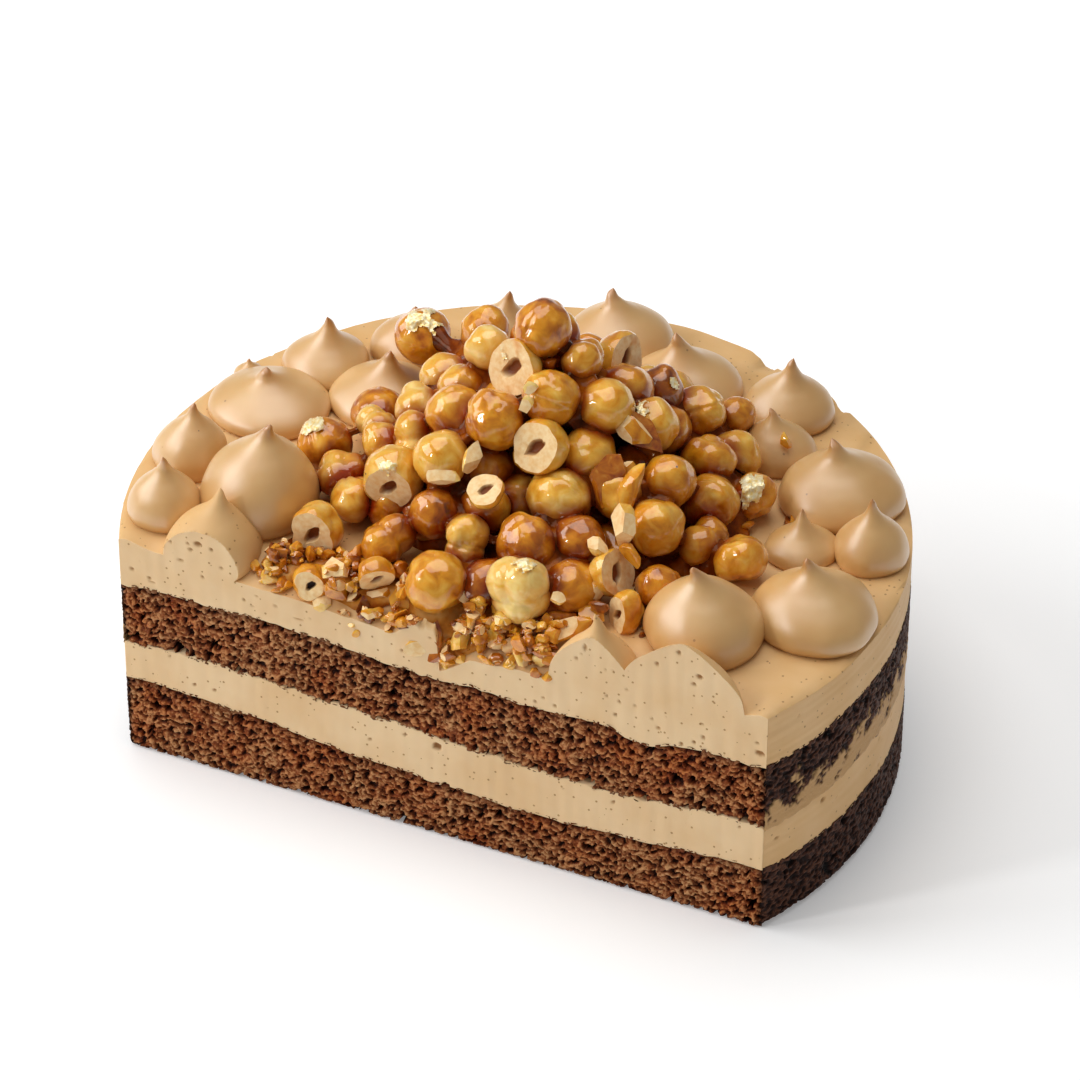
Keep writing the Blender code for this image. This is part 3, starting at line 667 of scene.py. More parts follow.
for vert in bm.verts:
    spot = vert.co.copy()
    at_rim = abs(math.hypot(spot.x, spot.y - CENTRE_Y) - RADIUS) < 0.05 * MM
    if on_cut(spot):
        low_right = smooth_step((spot.x - 20 * MM) / (15 * MM))
        low_right *= smooth_step((56 * MM - spot.z) / (6 * MM))
        shallow, bubble = mousse_depth(spot, 0.12 + 0.35 * low_right)
        for x, z, wide, tall in OPEN_BUBBLES:
            away = math.hypot((spot.x - x * MM) / (wide / 2 * MM), (spot.z - z * MM) / (tall / 2 * MM))
            bubble += math.sqrt(max(1 - away ** 2, 0.0)) * min(wide, tall) * 0.45 * MM
        vert[knifed] = 1.0
        # Painted shade in the opened bubbles of the cut, darker with their depth.
        vert[bubble_shade] = clamp(bubble / BUBBLE_SHADE_DEPTH)
        vert.co.y += shallow + bubble
    elif at_rim:
        shallow, bubble = mousse_depth(spot, 0.05)
        vert.co -= outward(spot) * (shallow + bubble)
top_mousse = finish_piece("top_mousse", bm, [whipped_mousse], ["mousse_top"], sharp=50)

# Whole hazelnuts
# Shelled, skinned and roasted hazelnuts, turned in hot caramel and tipped on the cake in a heap. Each
# is a rounded cone with a point and a flat scar; some are double or lobed. Those in front lie where
# the photo shows them, and a ring of others carries the heap round its back.
HEAP_TOP = 103
HEAP_FOOT = 65
HEAP_X, HEAP_Y = -1, -5
HEAP_LEFT, HEAP_RIGHT, HEAP_FRONT, HEAP_BACK = 50, 54, 56, 42
NUTS_WIDE, NUTS_FRONT, NUTS_BACK = 46, 50, 36
SIGHT = Vector((0.3312, -0.7370, 0.5892))
NUT_DETAIL = 4
# Each row: place and width in mm, how brown it is, and its form where it isn't single. The nuts at
# (-10, -45), (23, -40) and (42, -40) lie in shade, and their browner tints hold painted shade.
WHOLE_NUTS = (
    (-1, -7, 102, 13.4, 0.66), (-46.5, -36.5, 63.5, 7.4, 0.35, "lobed"), (-14, -7, 93, 10.6, 0.2),
    (9, -7, 96, 13.2, 0.45, "double"), (6, -18, 92, 13.4, 0.5), (17, -12, 89, 12.8, 0.4),
    (22, 7, 83, 11.4, 0.8), (29, 13, 75, 13.2, 0.45), (33, 22, 68, 12.6, 0.6, "double"),
    (26, -6, 83, 12.0, 0.4), (28, -2, 80, 10.8, 0.5), (18, -24, 83, 13.8, 0.4),
    (-4, -26, 88, 13.8, 0.6), (34, -16, 76, 12.6, 0.5), (38, -2, 74, 12.4, 0.55, "lobed"),
    (43, -13, 71, 13.4, 0.5), (16, -35, 78, 14.4, 0.3), (1, -42, 76, 11.4, 0.5),
    (8, -38, 78, 11.4, 0.35), (36, -28, 72, 13.0, 0.5), (46, -23, 68, 12.8, 0.55, "double"),
    (13, -46, 72, 13.6, 0.65), (23, -40, 72, 12.0, 0.8), (16, -56, 67, 14.6, 0.1, "lobed"),
    (26, -50, 67, 12.8, 0.6), (0, -50, 71, 13.2, 0.3, "double"), (42, -40, 65.5, 10.0, 0.7),
    (-30, -44, 68, 13.6, 0.35, "double"), (-39, -33, 67.5, 12.0, 0.4, "lobed"),
    (-13, -35, 81, 12.8, 0.3), (-10, -45, 73.4, 12.0, 0.78), (-17, -52, 67, 13.2, 0.6),
    (-3, -59.2, 65.5, 14.4, 0.52), (-7.8, -54, 68, 12.2, 0.3), (-40.5, 13, 77, 13.4, 0.6),
    (-27, -18, 79.7, 10.8, 0.2), (-38.3, -17, 71.2, 11.6, 0.3, "double"), (-49, -22, 66, 13.2, 0.55),
    (-16, -18, 88, 12.0, 0.35), (-15, -24, 85, 13.4, 0.5), (-32.5, -25, 73, 9.8, 0.4),
    (-23.9, -27, 78.2, 11.4, 0.3, "double"), (-23.3, 10.5, 84, 11.4, 0.6),
    (49, -2, 65.5, 12.0, 0.55, "lobed"), (55, -24, 65.5, 11.6, 0.5, "lobed"))
# Each row: place and width in mm, where the slice faces, how far out it lies as a share of the
# radius, how brown it is, and its form where it isn't single.
CUT_NUTS = (
    (-4, -15.5, 96, 12.6, (-0.3, -0.9, 0.3), 0.15, 0.3),
    (8, -27.5, 85.5, 12.8, (-0.15, -0.85, 0.45), 0.48, 0.4),
    (1, -42, 80.5, 8.4, (-0.1, -0.5, 0.85), 0.2, 0.4),
    (-24, -37, 74, 14.2, (0.1, -0.95, -0.15), 0.6, 0.3),
    (-36, -51.5, 65.5, 13, (0.1, -0.97, 0.0), 0.4, 0.35, "lobed"),
    (-17, -60.5, 64.5, 8.6, (0.5, -0.7, -0.4), 0.3, 0.5),
    (11, 9, 87.5, 12.4, (0.95, -0.2, 0.2), 0.35, 0.4),
    (33, -43.4, 68.5, 11.4, (0.9, -0.15, 0.4), 0.15, 0.3),
    (-31.4, -62.4, 59.6, 9.6, (0.3, -0.8, 0.35), 0.6, 0.6, "lobed"),
    (37.8, -49, 63.5, 9.8, (-0.6, -0.75, 0.1), 0.45, 0.5, "lobed"))
FINE_NUT = 13
OUTER_NUTS, OUTER_DEPTH = 80, 3 * MM
DEEP_NUTS, DEEP_DEPTH = 70, 11 * MM
NUT_GAP = 10.4 * MM
CARAMEL_SHADE_REACH = 4.2 * MM
OPEN_LEFT = -24 * MM
OPEN_BACK = -2 * MM


def heap_height(x, y):
    """Height of the heap's outside over x and y, a lopsided cone."""
    across = (x / MM - HEAP_X) / (HEAP_LEFT if x < HEAP_X * MM else HEAP_RIGHT)
    along = (y / MM - HEAP_Y) / (HEAP_FRONT if y < HEAP_Y * MM else HEAP_BACK)
    share = max(0.0, 1 - math.hypot(across, along))
    return (HEAP_FOOT + (HEAP_TOP - HEAP_FOOT) * share ** 1.15) * MM


def lobe_reach(way, lobes):
    """How far a ray from the middle goes before it leaves a cluster of round lobes."""
    reach = 0.0
    for centre, size in lobes:
        along = way.dot(centre)
        inside = along ** 2 - centre.length_squared + size ** 2
        if inside > 0:
            reach = max(reach, along + math.sqrt(inside))
    return reach


def nut_lobes(form, rng):
    if form == "double":
        return [(Vector((0.34, 0, 0.05)), 0.74), (Vector((-0.36, 0.05, -0.05)), 0.7)]
    if form == "lobed":
        return [(Vector((0.3 * math.cos(angle), 0.3 * math.sin(angle), rng.uniform(-0.25, 0.3))),
                 rng.uniform(0.66, 0.78)) for angle in (0.3, 1.9, 3.3, 4.9)]
    return [(Vector((0, 0, 0)), 1.0)]


def add_nut(bm, centre, width, form, way, rng, detail=NUT_DETAIL):
    """Add a nut of a given width whose point looks along way. Returns its points."""
    verts = bmesh.ops.create_icosphere(bm, subdivisions=detail, radius=1)["verts"]
    lobes = nut_lobes(form, rng)
    seed = Vector((rng.uniform(0, 99), rng.uniform(0, 99), rng.uniform(0, 99)))
    tall = rng.uniform(0.94, 1.08)
    point = rng.uniform(0.06, 0.16)
    seam = Vector((rng.uniform(-1, 1), rng.uniform(-1, 1), rng.uniform(-0.3, 0.3))).normalized()
    seam_depth = rng.choice((0.0, 0.03, 0.05))
    spun = Matrix.Rotation(rng.uniform(0, 6.28), 3, "Z").to_quaternion()
    turn = Vector(way).to_track_quat("Z", "Y") @ spun
    for vert in verts:
        ray = vert.co.normalized()
        reach = lobe_reach(ray, lobes)
        reach *= 1 + 0.10 * noise.noise(ray * 1.1 + seed) + 0.045 * noise.noise(ray * 2.6 + seed)
        reach -= 0.02 * abs(noise.noise(ray * 5 + seed))
        reach += point * smooth_step((ray.z - 0.78) / 0.22) - 0.08 * smooth_step((-ray.z - 0.8) / 0.2)
        reach -= seam_depth * smooth_step(1 - abs(ray.dot(seam)) / 0.12) * smooth_step(ray.z + 0.6)
        vert.co = centre + turn @ Vector((ray.x, ray.y, ray.z * tall)) * (reach * width / 2)
    return verts


def settle(nuts):
    """Push nuts that overlap apart, along the line of sight, so that those in front stay put."""
    for _ in range(12):
        for index, (near, near_size) in enumerate(nuts):
            for far, far_size in nuts[index + 1:]:
                gap = (near - far).length - 0.46 * (near_size + far_size)
                if gap < 0:
                    back = near if near.dot(SIGHT) < far.dot(SIGHT) else far
                    back -= SIGHT * (-gap) * 0.5
                    back.z = max(back.z, CREAM_TOP + 5 * MM)


def pile_up(nuts, cut_ones, count, under, detail, rng):
    """Add nuts at random, a given depth under the heap's outside, where there is room.

    The cream at the left of its back stays open."""
    goal = len(nuts) + count
    for _ in range(4000):
        if len(nuts) >= goal:
            return
        angle, share = rng.uniform(0, math.tau), math.sqrt(rng.uniform(0.02, 1))
        x = (HEAP_X + math.cos(angle) * share * NUTS_WIDE) * MM
        y = (HEAP_Y + math.sin(angle) * share * (NUTS_FRONT if math.sin(angle) < 0 else NUTS_BACK)) * MM
        size = rng.uniform(11.5, 13.8) * MM
        spot = Vector((x, y, max(heap_height(x, y) - under, CREAM_TOP + 4 * MM)))
        if x < OPEN_LEFT and y > OPEN_BACK:
            continue
        if y - size / 2 > CUT_Y and all((spot - nut[0]).length > NUT_GAP for nut in nuts + cut_ones):
            form = rng.choice(("single", "single", "double"))
            nuts.append((spot, size, form, rng.uniform(0.3, 0.75), detail))


rng = random.Random(7)
whole_nuts = [(Vector((x, y, z)) * MM, size * MM, form[0] if form else "single", tint,
               NUT_DETAIL + (size > FINE_NUT)) for x, y, z, size, tint, *form in WHOLE_NUTS]
settle([nut[:2] for nut in whole_nuts])
cut_places = [(Vector((x, y, z)) * MM,) for x, y, z, *_ in CUT_NUTS]
pile_up(whole_nuts, cut_places, OUTER_NUTS, OUTER_DEPTH, NUT_DETAIL, rng)
pile_up(whole_nuts, cut_places, DEEP_NUTS, DEEP_DEPTH, NUT_DETAIL - 1, rng)
bm = bmesh.new()
tint_layer, caramel_shade_layer = new_layers(bm, "tint", "caramel_and_gap_shade")
for centre, size, form, tint, detail in whole_nuts:
    leaning = Vector((rng.uniform(-1, 1), rng.uniform(-1, 1), rng.uniform(-0.2, 1)))
    for vert in add_nut(bm, centre, size, form, leaning.normalized(), rng, detail):
        vert[tint_layer] = tint
nut_centres = KDTree(len(whole_nuts))
for index, nut in enumerate(whole_nuts):
    nut_centres.insert(nut[0], index)
nut_centres.balance()
# Pooled caramel and painted shade: points near a second nut are given a darker amber.
for vert in bm.verts:
    near_ones = nut_centres.find_n(vert.co, 3)
    gaps = sorted(distance - whole_nuts[index][1] / 2 for centre, index, distance in near_ones)
    vert[caramel_shade_layer] = smooth_step(1 - gaps[1] / CARAMEL_SHADE_REACH)

# Caramel-glazed hazelnut: golden, darker amber where it lies close to other nuts, partly caramel that
# ran together between them and partly painted shade in the gaps, mottled, under a clear glossy coat.
glazed_nut, tree, shader, place = start_material("caramel_glazed_hazelnut", {
    "Roughness": 0.35, "Specular Tint": linear("#FFB860"), "Coat Weight": 1.0, "Coat Roughness": 0.03,
    "Coat IOR": 1.6, "Subsurface Weight": 0.2, "Subsurface Radius": (1.0, 0.45, 0.15),
    "Subsurface Scale": 1.5 * MM})
tint_level, caramel_shade_level = [add_node(tree, "Attribute", attribute_name=name).outputs["Fac"]
                            for name in ("tint", "caramel_and_gap_shade")]
mottle = add_node(tree, "TexNoise", {"Vector": place, "Scale": 1 / (4 * MM), "Detail": 4.0,
                                     "Distortion": 0.6})
spread = add_node(tree, "Math", {0: mottle, 1: 1.2, 2: -0.6}, operation="MULTIPLY_ADD")
tone = add_node(tree, "Math", {0: tint_level, 1: spread}, operation="ADD", use_clamp=True)
skin = add_node(tree, "ValToRGB", {"Fac": tone}, stops=(
    (0.0, "#FCD986"), (0.3, "#EDB546"), (0.55, "#DE921C"), (0.8, "#B4620F"), (1.0, "#6E2E06")))
# Darker amber near other nuts: pooled caramel and painted shade in the gaps.
amber = mixed(tree, caramel_shade_level, skin, mixed(tree, 1.0, skin, linear("#A84C0C"), "MULTIPLY"))
spotted = dotted(tree, place, 6 * MM, 0.3 * MM, 0.2, "#4A1E08", amber)[0]
wrinkle = add_node(tree, "TexNoise", {"Vector": place, "Scale": 1 / (1.8 * MM), "Detail": 3.0})
bump = add_node(tree, "Bump", {"Height": wrinkle, "Strength": 0.16, "Distance": 0.5 * MM})
dress(tree, shader, spotted, bump)

nut_tree = BVHTree.FromBMesh(bm)
caramel_bm = bm.copy()
finish_piece("whole_hazelnuts", bm, [glazed_nut])

# Caramel
# Cooked sugar that ran off the nuts while it was hot. It fills the gaps between them with dark glossy
# amber, joins the heap to the mousse, and one thread of it holds a pair of nuts out over the cream.
CARAMEL_SIZE = 0.9 * MM
CARAMEL_PROUD = 0.6 * MM
CARAMEL_BACK = 1.8 * MM
CARAMEL_SMOOTHING = 12
CORE_DEPTH = 12 * MM
CORE_WIDE, CORE_FRONT, CORE_BACK = 47, 53, 38
THREAD_START, THREAD_END = Vector((-37, 12, 80)) * MM, Vector((-19, -1, 84)) * MM
THREAD_BEADS = 12
THREAD_SAG = 2.5 * MM
THIN_FRONT = -56.5 * MM
THIN_TOP = 64 * MM
# Each row: how many drops, then the left, right, front and back edge of their bed in mm.
BEDS = ((60, -45, -8, -63, -50), (70, -8, 27, -64.2, -50), (60, 26, 50, -46, -6))
# Each row: place and radius of a drop in mm.
POOL = (
    (2.6, -63, 49.6, 5.2), (5.2, -62.6, 51.2, 5.2), (3.4, -60, 53.6, 6), (7.4, -60.5, 53.8, 5.6),
    (1.8, -63.6, 51.6, 4.4), (3, -63.6, 48.6, 4.2), (-23, -63.4, 53.4, 4.6), (-18, -63.4, 53, 4.4),
    (-28, -63.2, 54, 4.4))


def one_skin(bm, size):
    """Remesh overlapping solids to one closed skin with faces of one size."""
    solid = solid_object(bm)
    skin = solid.modifiers.new("skin", "REMESH")
    skin.mode = "VOXEL"
    skin.voxel_size = size
    return taken_back(solid)


bm = caramel_bm
bm.normal_update()
for vert in bm.verts:
    vert.co += vert.normal * CARAMEL_PROUD
core = bmesh.ops.create_icosphere(bm, subdivisions=5, radius=1)["verts"]
for vert in core:
    x, y, up = vert.co.x, vert.co.y, vert.co.z
    vert.co.x = (HEAP_X + x * CORE_WIDE) * MM
    vert.co.y = (HEAP_Y + y * (CORE_FRONT if y < 0 else CORE_BACK)) * MM
    level = heap_height(vert.co.x, vert.co.y) - CORE_DEPTH
    vert.co.z = level if up > 0 else CREAM_TOP - 3 * MM
for index in range(THREAD_BEADS + 1):
    share = index / THREAD_BEADS
    spot = THREAD_START.lerp(THREAD_END, share) - Vector((0, 0, math.sin(math.pi * share) * THREAD_SAG))
    thick = (3.2 + 1.6 * abs(share - 0.5) * 2) * MM
    bead = bmesh.ops.create_icosphere(bm, subdivisions=2, radius=thick)["verts"]
    bmesh.ops.translate(bm, verts=bead, vec=spot)
rng = random.Random(11)
bed = [(rng.uniform(left, right), rng.uniform(front, back))
       for count, left, right, front, back in BEDS for _ in range(count)]
spots = [(x, y, mousse_surface(x * MM, y * MM) / MM + 0.4, rng.uniform(3.2, 4.6)) for x, y in bed]
for x, y, z, thick in spots + list(POOL):
    drop = bmesh.ops.create_icosphere(bm, subdivisions=2, radius=thick * MM)["verts"]
    bmesh.ops.scale(bm, verts=drop, vec=(1, 1, 0.8))
    bmesh.ops.translate(bm, verts=drop, vec=Vector((x, y, z)) * MM)
bm = one_skin(bm, CARAMEL_SIZE)
for _ in range(CARAMEL_SMOOTHING):
    bmesh.ops.smooth_vert(bm, verts=bm.verts, factor=0.5, use_axis_x=True, use_axis_y=True,
                          use_axis_z=True)
bm.normal_update()
thin_layer, = new_layers(bm, "thin")
for vert in bm.verts:
    front = smooth_step((THIN_FRONT - vert.co.y) / (5 * MM))
    vert.co -= vert.normal * CARAMEL_BACK
    vert.co.y = max(vert.co.y, CUT_Y - 0.3 * MM)
    vert[thin_layer] = front * smooth_step((THIN_TOP - vert.co.z) / (4 * MM))

# Dark caramel: clear brown sugar glass, almost black where it lies deep, golden where it is thin over
# the mousse at the cut, with a wet gloss.
dark_caramel, tree, shader, place = start_material("dark_clear_caramel", {
    "Roughness": 0.2, "Specular Tint": linear("#FFC080"), "Specular IOR Level": 0.15, "Coat Weight": 0.15,
    "Coat Roughness": 0.04})
cloud = add_node(tree, "TexNoise", {"Vector": place, "Scale": 1 / (5 * MM), "Detail": 3.0})
deep = add_node(tree, "ValToRGB", {"Fac": cloud}, stops=(
    (0.3, "#3A1301"), (0.5, "#6C2A02"), (0.7, "#A25208")))
golden = add_node(tree, "ValToRGB", {"Fac": cloud}, stops=(
    (0.3, "#8A4210"), (0.5, "#BE7A2C"), (0.7, "#D9A45C")))
thin_level = add_node(tree, "Attribute", attribute_name="thin").outputs["Fac"]
amber = mixed(tree, thin_level, deep, golden)
bump = add_node(tree, "Bump", {"Height": cloud, "Strength": 0.3, "Distance": 0.6 * MM})
dress(tree, shader, amber, bump)
finish_piece("caramel", bm, [dark_caramel], ["hazelnut_heap"])

# Cut hazelnuts
# Nuts that the knife or the chopper halved: the pale flesh shows, with the hollow in the middle of
# the kernel, browned by roasting, and a caramel skin round the rest.
HOLLOW_DEPTH = 0.26
HOLLOW_RINGS = ((0.95, 0.0), (0.84, 0.02), (0.66, 0.0), (0.5, 0.1), (0.4, 0.5), (0.3, 0.8), (0.15, 0.9))


def take_in(bm, one, **values):
    """Move a small bmesh into a larger one. Each value fills a layer of the same name, place by place."""
    copies = {vert: bm.verts.new(vert.co) for vert in one.verts}
    for name, value in values.items():
        layer = bm.verts.layers.float[name]
        for copy in copies.values():
            copy[layer] = value(copy.co)
    for face in one.faces:
        made = bm.faces.new([copies[vert] for vert in face.verts])
        made.smooth = True
        made.material_index = face.material_index
    one.free()


def add_cut_nut(bm, centre, width, form, facing, offset, tint, rng):
    """Add a nut with one side sliced off and the long hollow of its kernel sunk into the slice."""
    one = bmesh.new()
    facing = Vector(facing).normalized()
    add_nut(one, Vector((0, 0, 0)), width, form, facing.orthogonal(), rng)
    slice_across(one, facing * offset * width / 2, facing, clear=True)
    skin = set(one.faces)
    face = close_holes(one)
    middle = face[0].calc_center_median()
    long_way = facing.orthogonal().normalized()
    plane = facing * offset * width / 2
    seed = rng.uniform(0, 99)
    rim = [(vert.co.copy(), vert.co - middle) for vert in face[0].verts]
    for share, sink in HOLLOW_RINGS:
        made = bmesh.ops.extrude_face_region(one, geom=face)["geom"]
        bmesh.ops.delete(one, geom=[item for item in face if item.is_valid], context="FACES_ONLY")
        face = [item for item in made if isinstance(item, bmesh.types.BMFace)]
        moved = []
        for vert in face[0].verts:
            out = min(rim, key=lambda pair: (pair[0] - vert.co).length_squared)[1]
            along = long_way * out.dot(long_way)
            wave = 1 + 0.22 * noise.noise(out.normalized() * 1.3 + Vector((seed, 0, 0))) * (share < 0.9)
            slim = 1 - 0.45 * smooth_step((0.8 - share) / 0.3)
            spot = middle + (along + (out - along) * slim) * share * wave
            lump = 0.03 * noise.noise(spot / (1.5 * MM) + Vector((seed, 0, 0))) * (0.2 < share < 0.9)
            vert.co = spot - facing * (sink * HOLLOW_DEPTH + lump) * width / 2
            moved.append((vert.co.copy(), out))
        rim = moved
    flesh = {item for item in one.faces if item not in skin}
    for item in one.faces:
        item.material_index = 1 if item in flesh else 0
    bmesh.ops.triangulate(one, faces=[item for item in one.faces if len(item.verts) > 4])
    bmesh.ops.recalc_face_normals(one, faces=one.faces)
    plane += centre
    bmesh.ops.translate(one, verts=one.verts, vec=centre)
    deepest = HOLLOW_DEPTH * width / 2
    take_in(bm, one, hollow=lambda spot: clamp((plane - spot).dot(facing) / deepest * 1.9 - 0.3),
            tint=lambda spot: tint)


bm = bmesh.new()
new_layers(bm, "hollow", "tint")
rng = random.Random(3)
for x, y, z, width, facing, offset, tint, *form in CUT_NUTS:
    form = form[0] if form else "single"
    add_cut_nut(bm, Vector((x, y, z)) * MM, width * MM, form, facing, offset, tint, rng)

# Hazelnut flesh: pale ivory, finely grained and dull, browner in the hollow.
nut_flesh, tree, shader, place = start_material("roasted_hazelnut_flesh", {
    "Roughness": 0.5, "Specular IOR Level": 0.2, "Coat Weight": 0.1, "Coat Roughness": 0.2})
hollow_level, tint_level = [add_node(tree, "Attribute", attribute_name=name).outputs["Fac"]
                            for name in ("hollow", "tint")]
grain = add_node(tree, "TexNoise", {"Vector": place, "Scale": 1 / (1.2 * MM), "Detail": 4.0})
stain = add_node(tree, "TexNoise", {"Vector": place, "Scale": 1 / (5 * MM), "Detail": 2.0})
ivory = add_node(tree, "ValToRGB", {"Fac": grain}, stops=((0.3, "#F2C584"), (0.7, "#FFE2AE")))
stained = add_node(tree, "ValToRGB", {"Fac": stain}, stops=((0.58, "#FFFFFF"), (0.85, "#E8AE66")))
amber = mixed(tree, 1.0, ivory, stained, "MULTIPLY")
roasted = add_node(tree, "ValToRGB", {"Fac": tint_level}, stops=((0.5, "#7C3E12"), (0.6, "#240A03")))
bump = add_node(tree, "Bump", {"Height": grain, "Strength": 0.4, "Distance": 0.25 * MM})
dress(tree, shader, mixed(tree, hollow_level, amber, roasted), bump)
finish_piece("cut_hazelnuts", bm, [glazed_nut, nut_flesh], sharp=40)

# Chopped hazelnuts
# Bits from the chopping board, from crumbs of one millimetre to quarters of a nut, some pale and some
# soaked in caramel, with shards of plain caramel. They are piled thickest along the cut's edge and
# stick here and there on the nuts.
RIGHTWARD = Vector((0.9121, 0.4099, 0))
UPWARD = SIGHT.cross(RIGHTWARD)
BIT_THICKER = 1.3
PILE_LAYERS = 3
ABOVE_ALL = 200 * MM
CLEAR_OF_CUTS = 1.5 * MM
# Each row: how many bits, then the left, right, front and back edge of their band in mm.
BIT_BANDS = ((210, -45, -10, -66, -54), (270, -12, 28, -66.3, -57), (80, 28, 60, -52, 4))
PILE_TOP = 66 * MM
# Each row: place, length, width and thickness in mm, degrees from level in the picture, how brown it
# is, and its kind where it isn't skin.
BITS = (
    (-41.5, -62.4, 58.4, 7.4, 5, 4, 10, 0.25), (-46.8, -61.9, 59, 2.4, 3, 2, 0, 0.5),
    (-42.4, -57.5, 61, 4.8, 3.6, 3, 30, 0.7), (-38.2, -57.9, 61, 5.2, 4, 3, -20, 0.75),
    (-34.8, -62.5, 58.5, 4, 3.4, 2.6, 20, 0.85), (-25.9, -62.3, 64, 5.6, 6.2, 4, 10, 0.1, "flesh"),
    (-24.6, -64.6, 60.5, 6.5, 4, 4, -20, 0.65), (-28.6, -65.4, 57, 4.2, 4.4, 1.6, 30, 0.1, "flesh"),
    (-22.3, -61.5, 58.8, 6.2, 2.2, 1.2, 80, 0.1, "flesh"), (-18.8, -63.6, 58, 4.6, 4.8, 4, 15, 0.95),
    (-16.3, -60.7, 59.5, 5.6, 4, 3, 0, 0.45, "flesh"), (-10.3, -60.8, 59.5, 7.6, 5.6, 1.8, 80, 0.45),
    (-12.2, -64.1, 56.5, 3.6, 2, 1.6, 5, 0.3), (-20.6, -66.2, 53.5, 1.8, 1.4, 1, 0, 0.3),
    (-19.3, -66.4, 51.6, 2.4, 1.6, 1.2, 40, 0.4), (-4.7, -64.4, 56.5, 4.6, 4, 3, 0, 0.15, "flesh"),
    (-3.7, -66, 51.8, 7.6, 4.2, 2.4, -10, 0.3, "flesh"), (5.9, -64.6, 55.5, 5, 5.6, 3.6, -30, 0.25),
    (6.8, -59.7, 60.5, 5.2, 5.8, 4, -40, 0.55, "flesh"), (16.4, -60.5, 60, 6.2, 4, 3, -60, 0.5),
    (11.9, -58, 61.5, 5, 4.4, 3, 0, 0.3), (12.7, -62.3, 58, 4.4, 6, 3, 30, 0.3),
    (9.6, -64.1, 55.8, 3, 3.8, 2, 0, 0.55), (20.3, -64.1, 56.5, 5.2, 4.6, 2.4, -45, 0.35, "flesh"),
    (24.5, -63.5, 57, 4.6, 4.4, 3.6, 0, 0.1), (22.4, -58.2, 60.8, 3.6, 3.4, 2, 0, 0.4),
    (28.2, -57.7, 61.5, 9.4, 5.4, 3, 22, 0.55, "flesh"), (24.5, -53.7, 61.5, 9, 3.4, 3, 8, 0.85),
    (3.7, -50, 62, 8, 8, 6, 0, 0.6), (3.8, -58.4, 64.5, 4.6, 4, 3, 40, 0.45, "flesh"),
    (25.6, -57.4, 69, 3, 3, 1.4, 0, 0.4, "flesh"), (28, -42.6, 74, 5.6, 3.8, 3, -25, 0.2, "flesh"),
    (32.9, -38, 77.5, 6.6, 9.8, 5, 12, 0.3, "flesh"), (35.5, -40.5, 72.5, 4, 6, 3, 30, 0.5),
    (30, -48, 66.5, 5, 4, 3, -30, 0.4, "flesh"), (31.5, -52.5, 62.5, 5, 6, 3, 20, 0.6),
    (3.7, -23.4, 97.5, 3.2, 2.8, 0.9, 20, 0.1, "flesh"),
    (3.5, -25.6, 94, 4.6, 3.4, 1.1, 70, 0.1, "flesh"),
    (-9.8, -41.2, 80.5, 7.6, 4.8, 1.6, -12, 0.1, "flesh"),
    (-4.9, -36, 84, 8, 3.8, 2.6, 62, 0.15, "flesh"), (-46.8, -38.5, 66.5, 2.6, 2.2, 1.4, 30, 1.0),
    (25.4, -14, 85, 13.5, 7.4, 3, -48, 0.55, "glass"),
    (24.6, -14.4, 86.4, 9, 6, 2.4, -40, 0.5, "flesh"), (23.5, -27, 80, 8, 12, 3, -28, 0.8, "glass"),
    (29.5, -26.5, 80.5, 5, 11.5, 2.6, -14, 0.5), (26.6, -22, 81, 4, 5, 2, 20, 0.5, "flesh"),
    (0.6, -65.9, 51.5, 3, 5.5, 1.4, -70, 0.6, "glass"), (3.6, -65.4, 50.2, 5.5, 3.4, 2.4, -20, 0.45),
    (6.4, -65, 52, 4, 3, 2.4, 15, 0.35), (2.2, -65.6, 48.6, 3, 2, 1.4, -30, 0.5),
    (-0.3, -64.8, 55.8, 2.8, 7.6, 1.2, -8, 0.5, "glass"), (48.3, 19.5, 69, 2.6, 3.6, 1.6, 10, 0.5))


def add_bit(bm, centre, sizes, axes, tint, kind, rng):
    """Add a small angular bit, a pebble with a few flat breaks, turned to three axes."""
    one = bmesh.new()
    bmesh.ops.create_icosphere(one, subdivisions=2, radius=0.56)
    seed = Vector((rng.uniform(0, 99), rng.uniform(0, 99), rng.uniform(0, 99)))
    for vert in one.verts:
        vert.co *= 1 + 0.3 * noise.noise(vert.co * 2.4 + seed)
    for _ in range(6 if max(sizes) > 4.5 * MM else 4):
        way = Vector((rng.uniform(-1, 1), rng.uniform(-1, 1), rng.uniform(-0.6, 1))).normalized()
        slice_across(one, way * rng.uniform(0.2, 0.42), way, clear=True)
        for face in close_holes(one):
            face.material_index = 1 if kind == "flesh" else 0
    if kind == "glass":
        for face in one.faces:
            face.material_index = 2
    bmesh.ops.recalc_face_normals(one, faces=one.faces)
    for vert in one.verts:
        parts = [axis * part * size for axis, part, size in zip(axes, vert.co, sizes)]
        vert.co = centre + sum(parts, Vector())
    take_in(bm, one, tint=lambda spot: tint)


def turned(degrees):
    """Direction square to the line of sight, turned from the picture's right towards its top."""
    angle = math.radians(degrees)
    return RIGHTWARD * math.cos(angle) + UPWARD * math.sin(angle)


def random_axes(rng):
    way = Vector((rng.uniform(-1, 1), rng.uniform(-1, 1), rng.uniform(-1, 1))).normalized()
    turn = way.to_track_quat("Z", "Y")
    return [turn @ Vector(way) for way in ((1, 0, 0), (0, 1, 0), (0, 0, 1))]


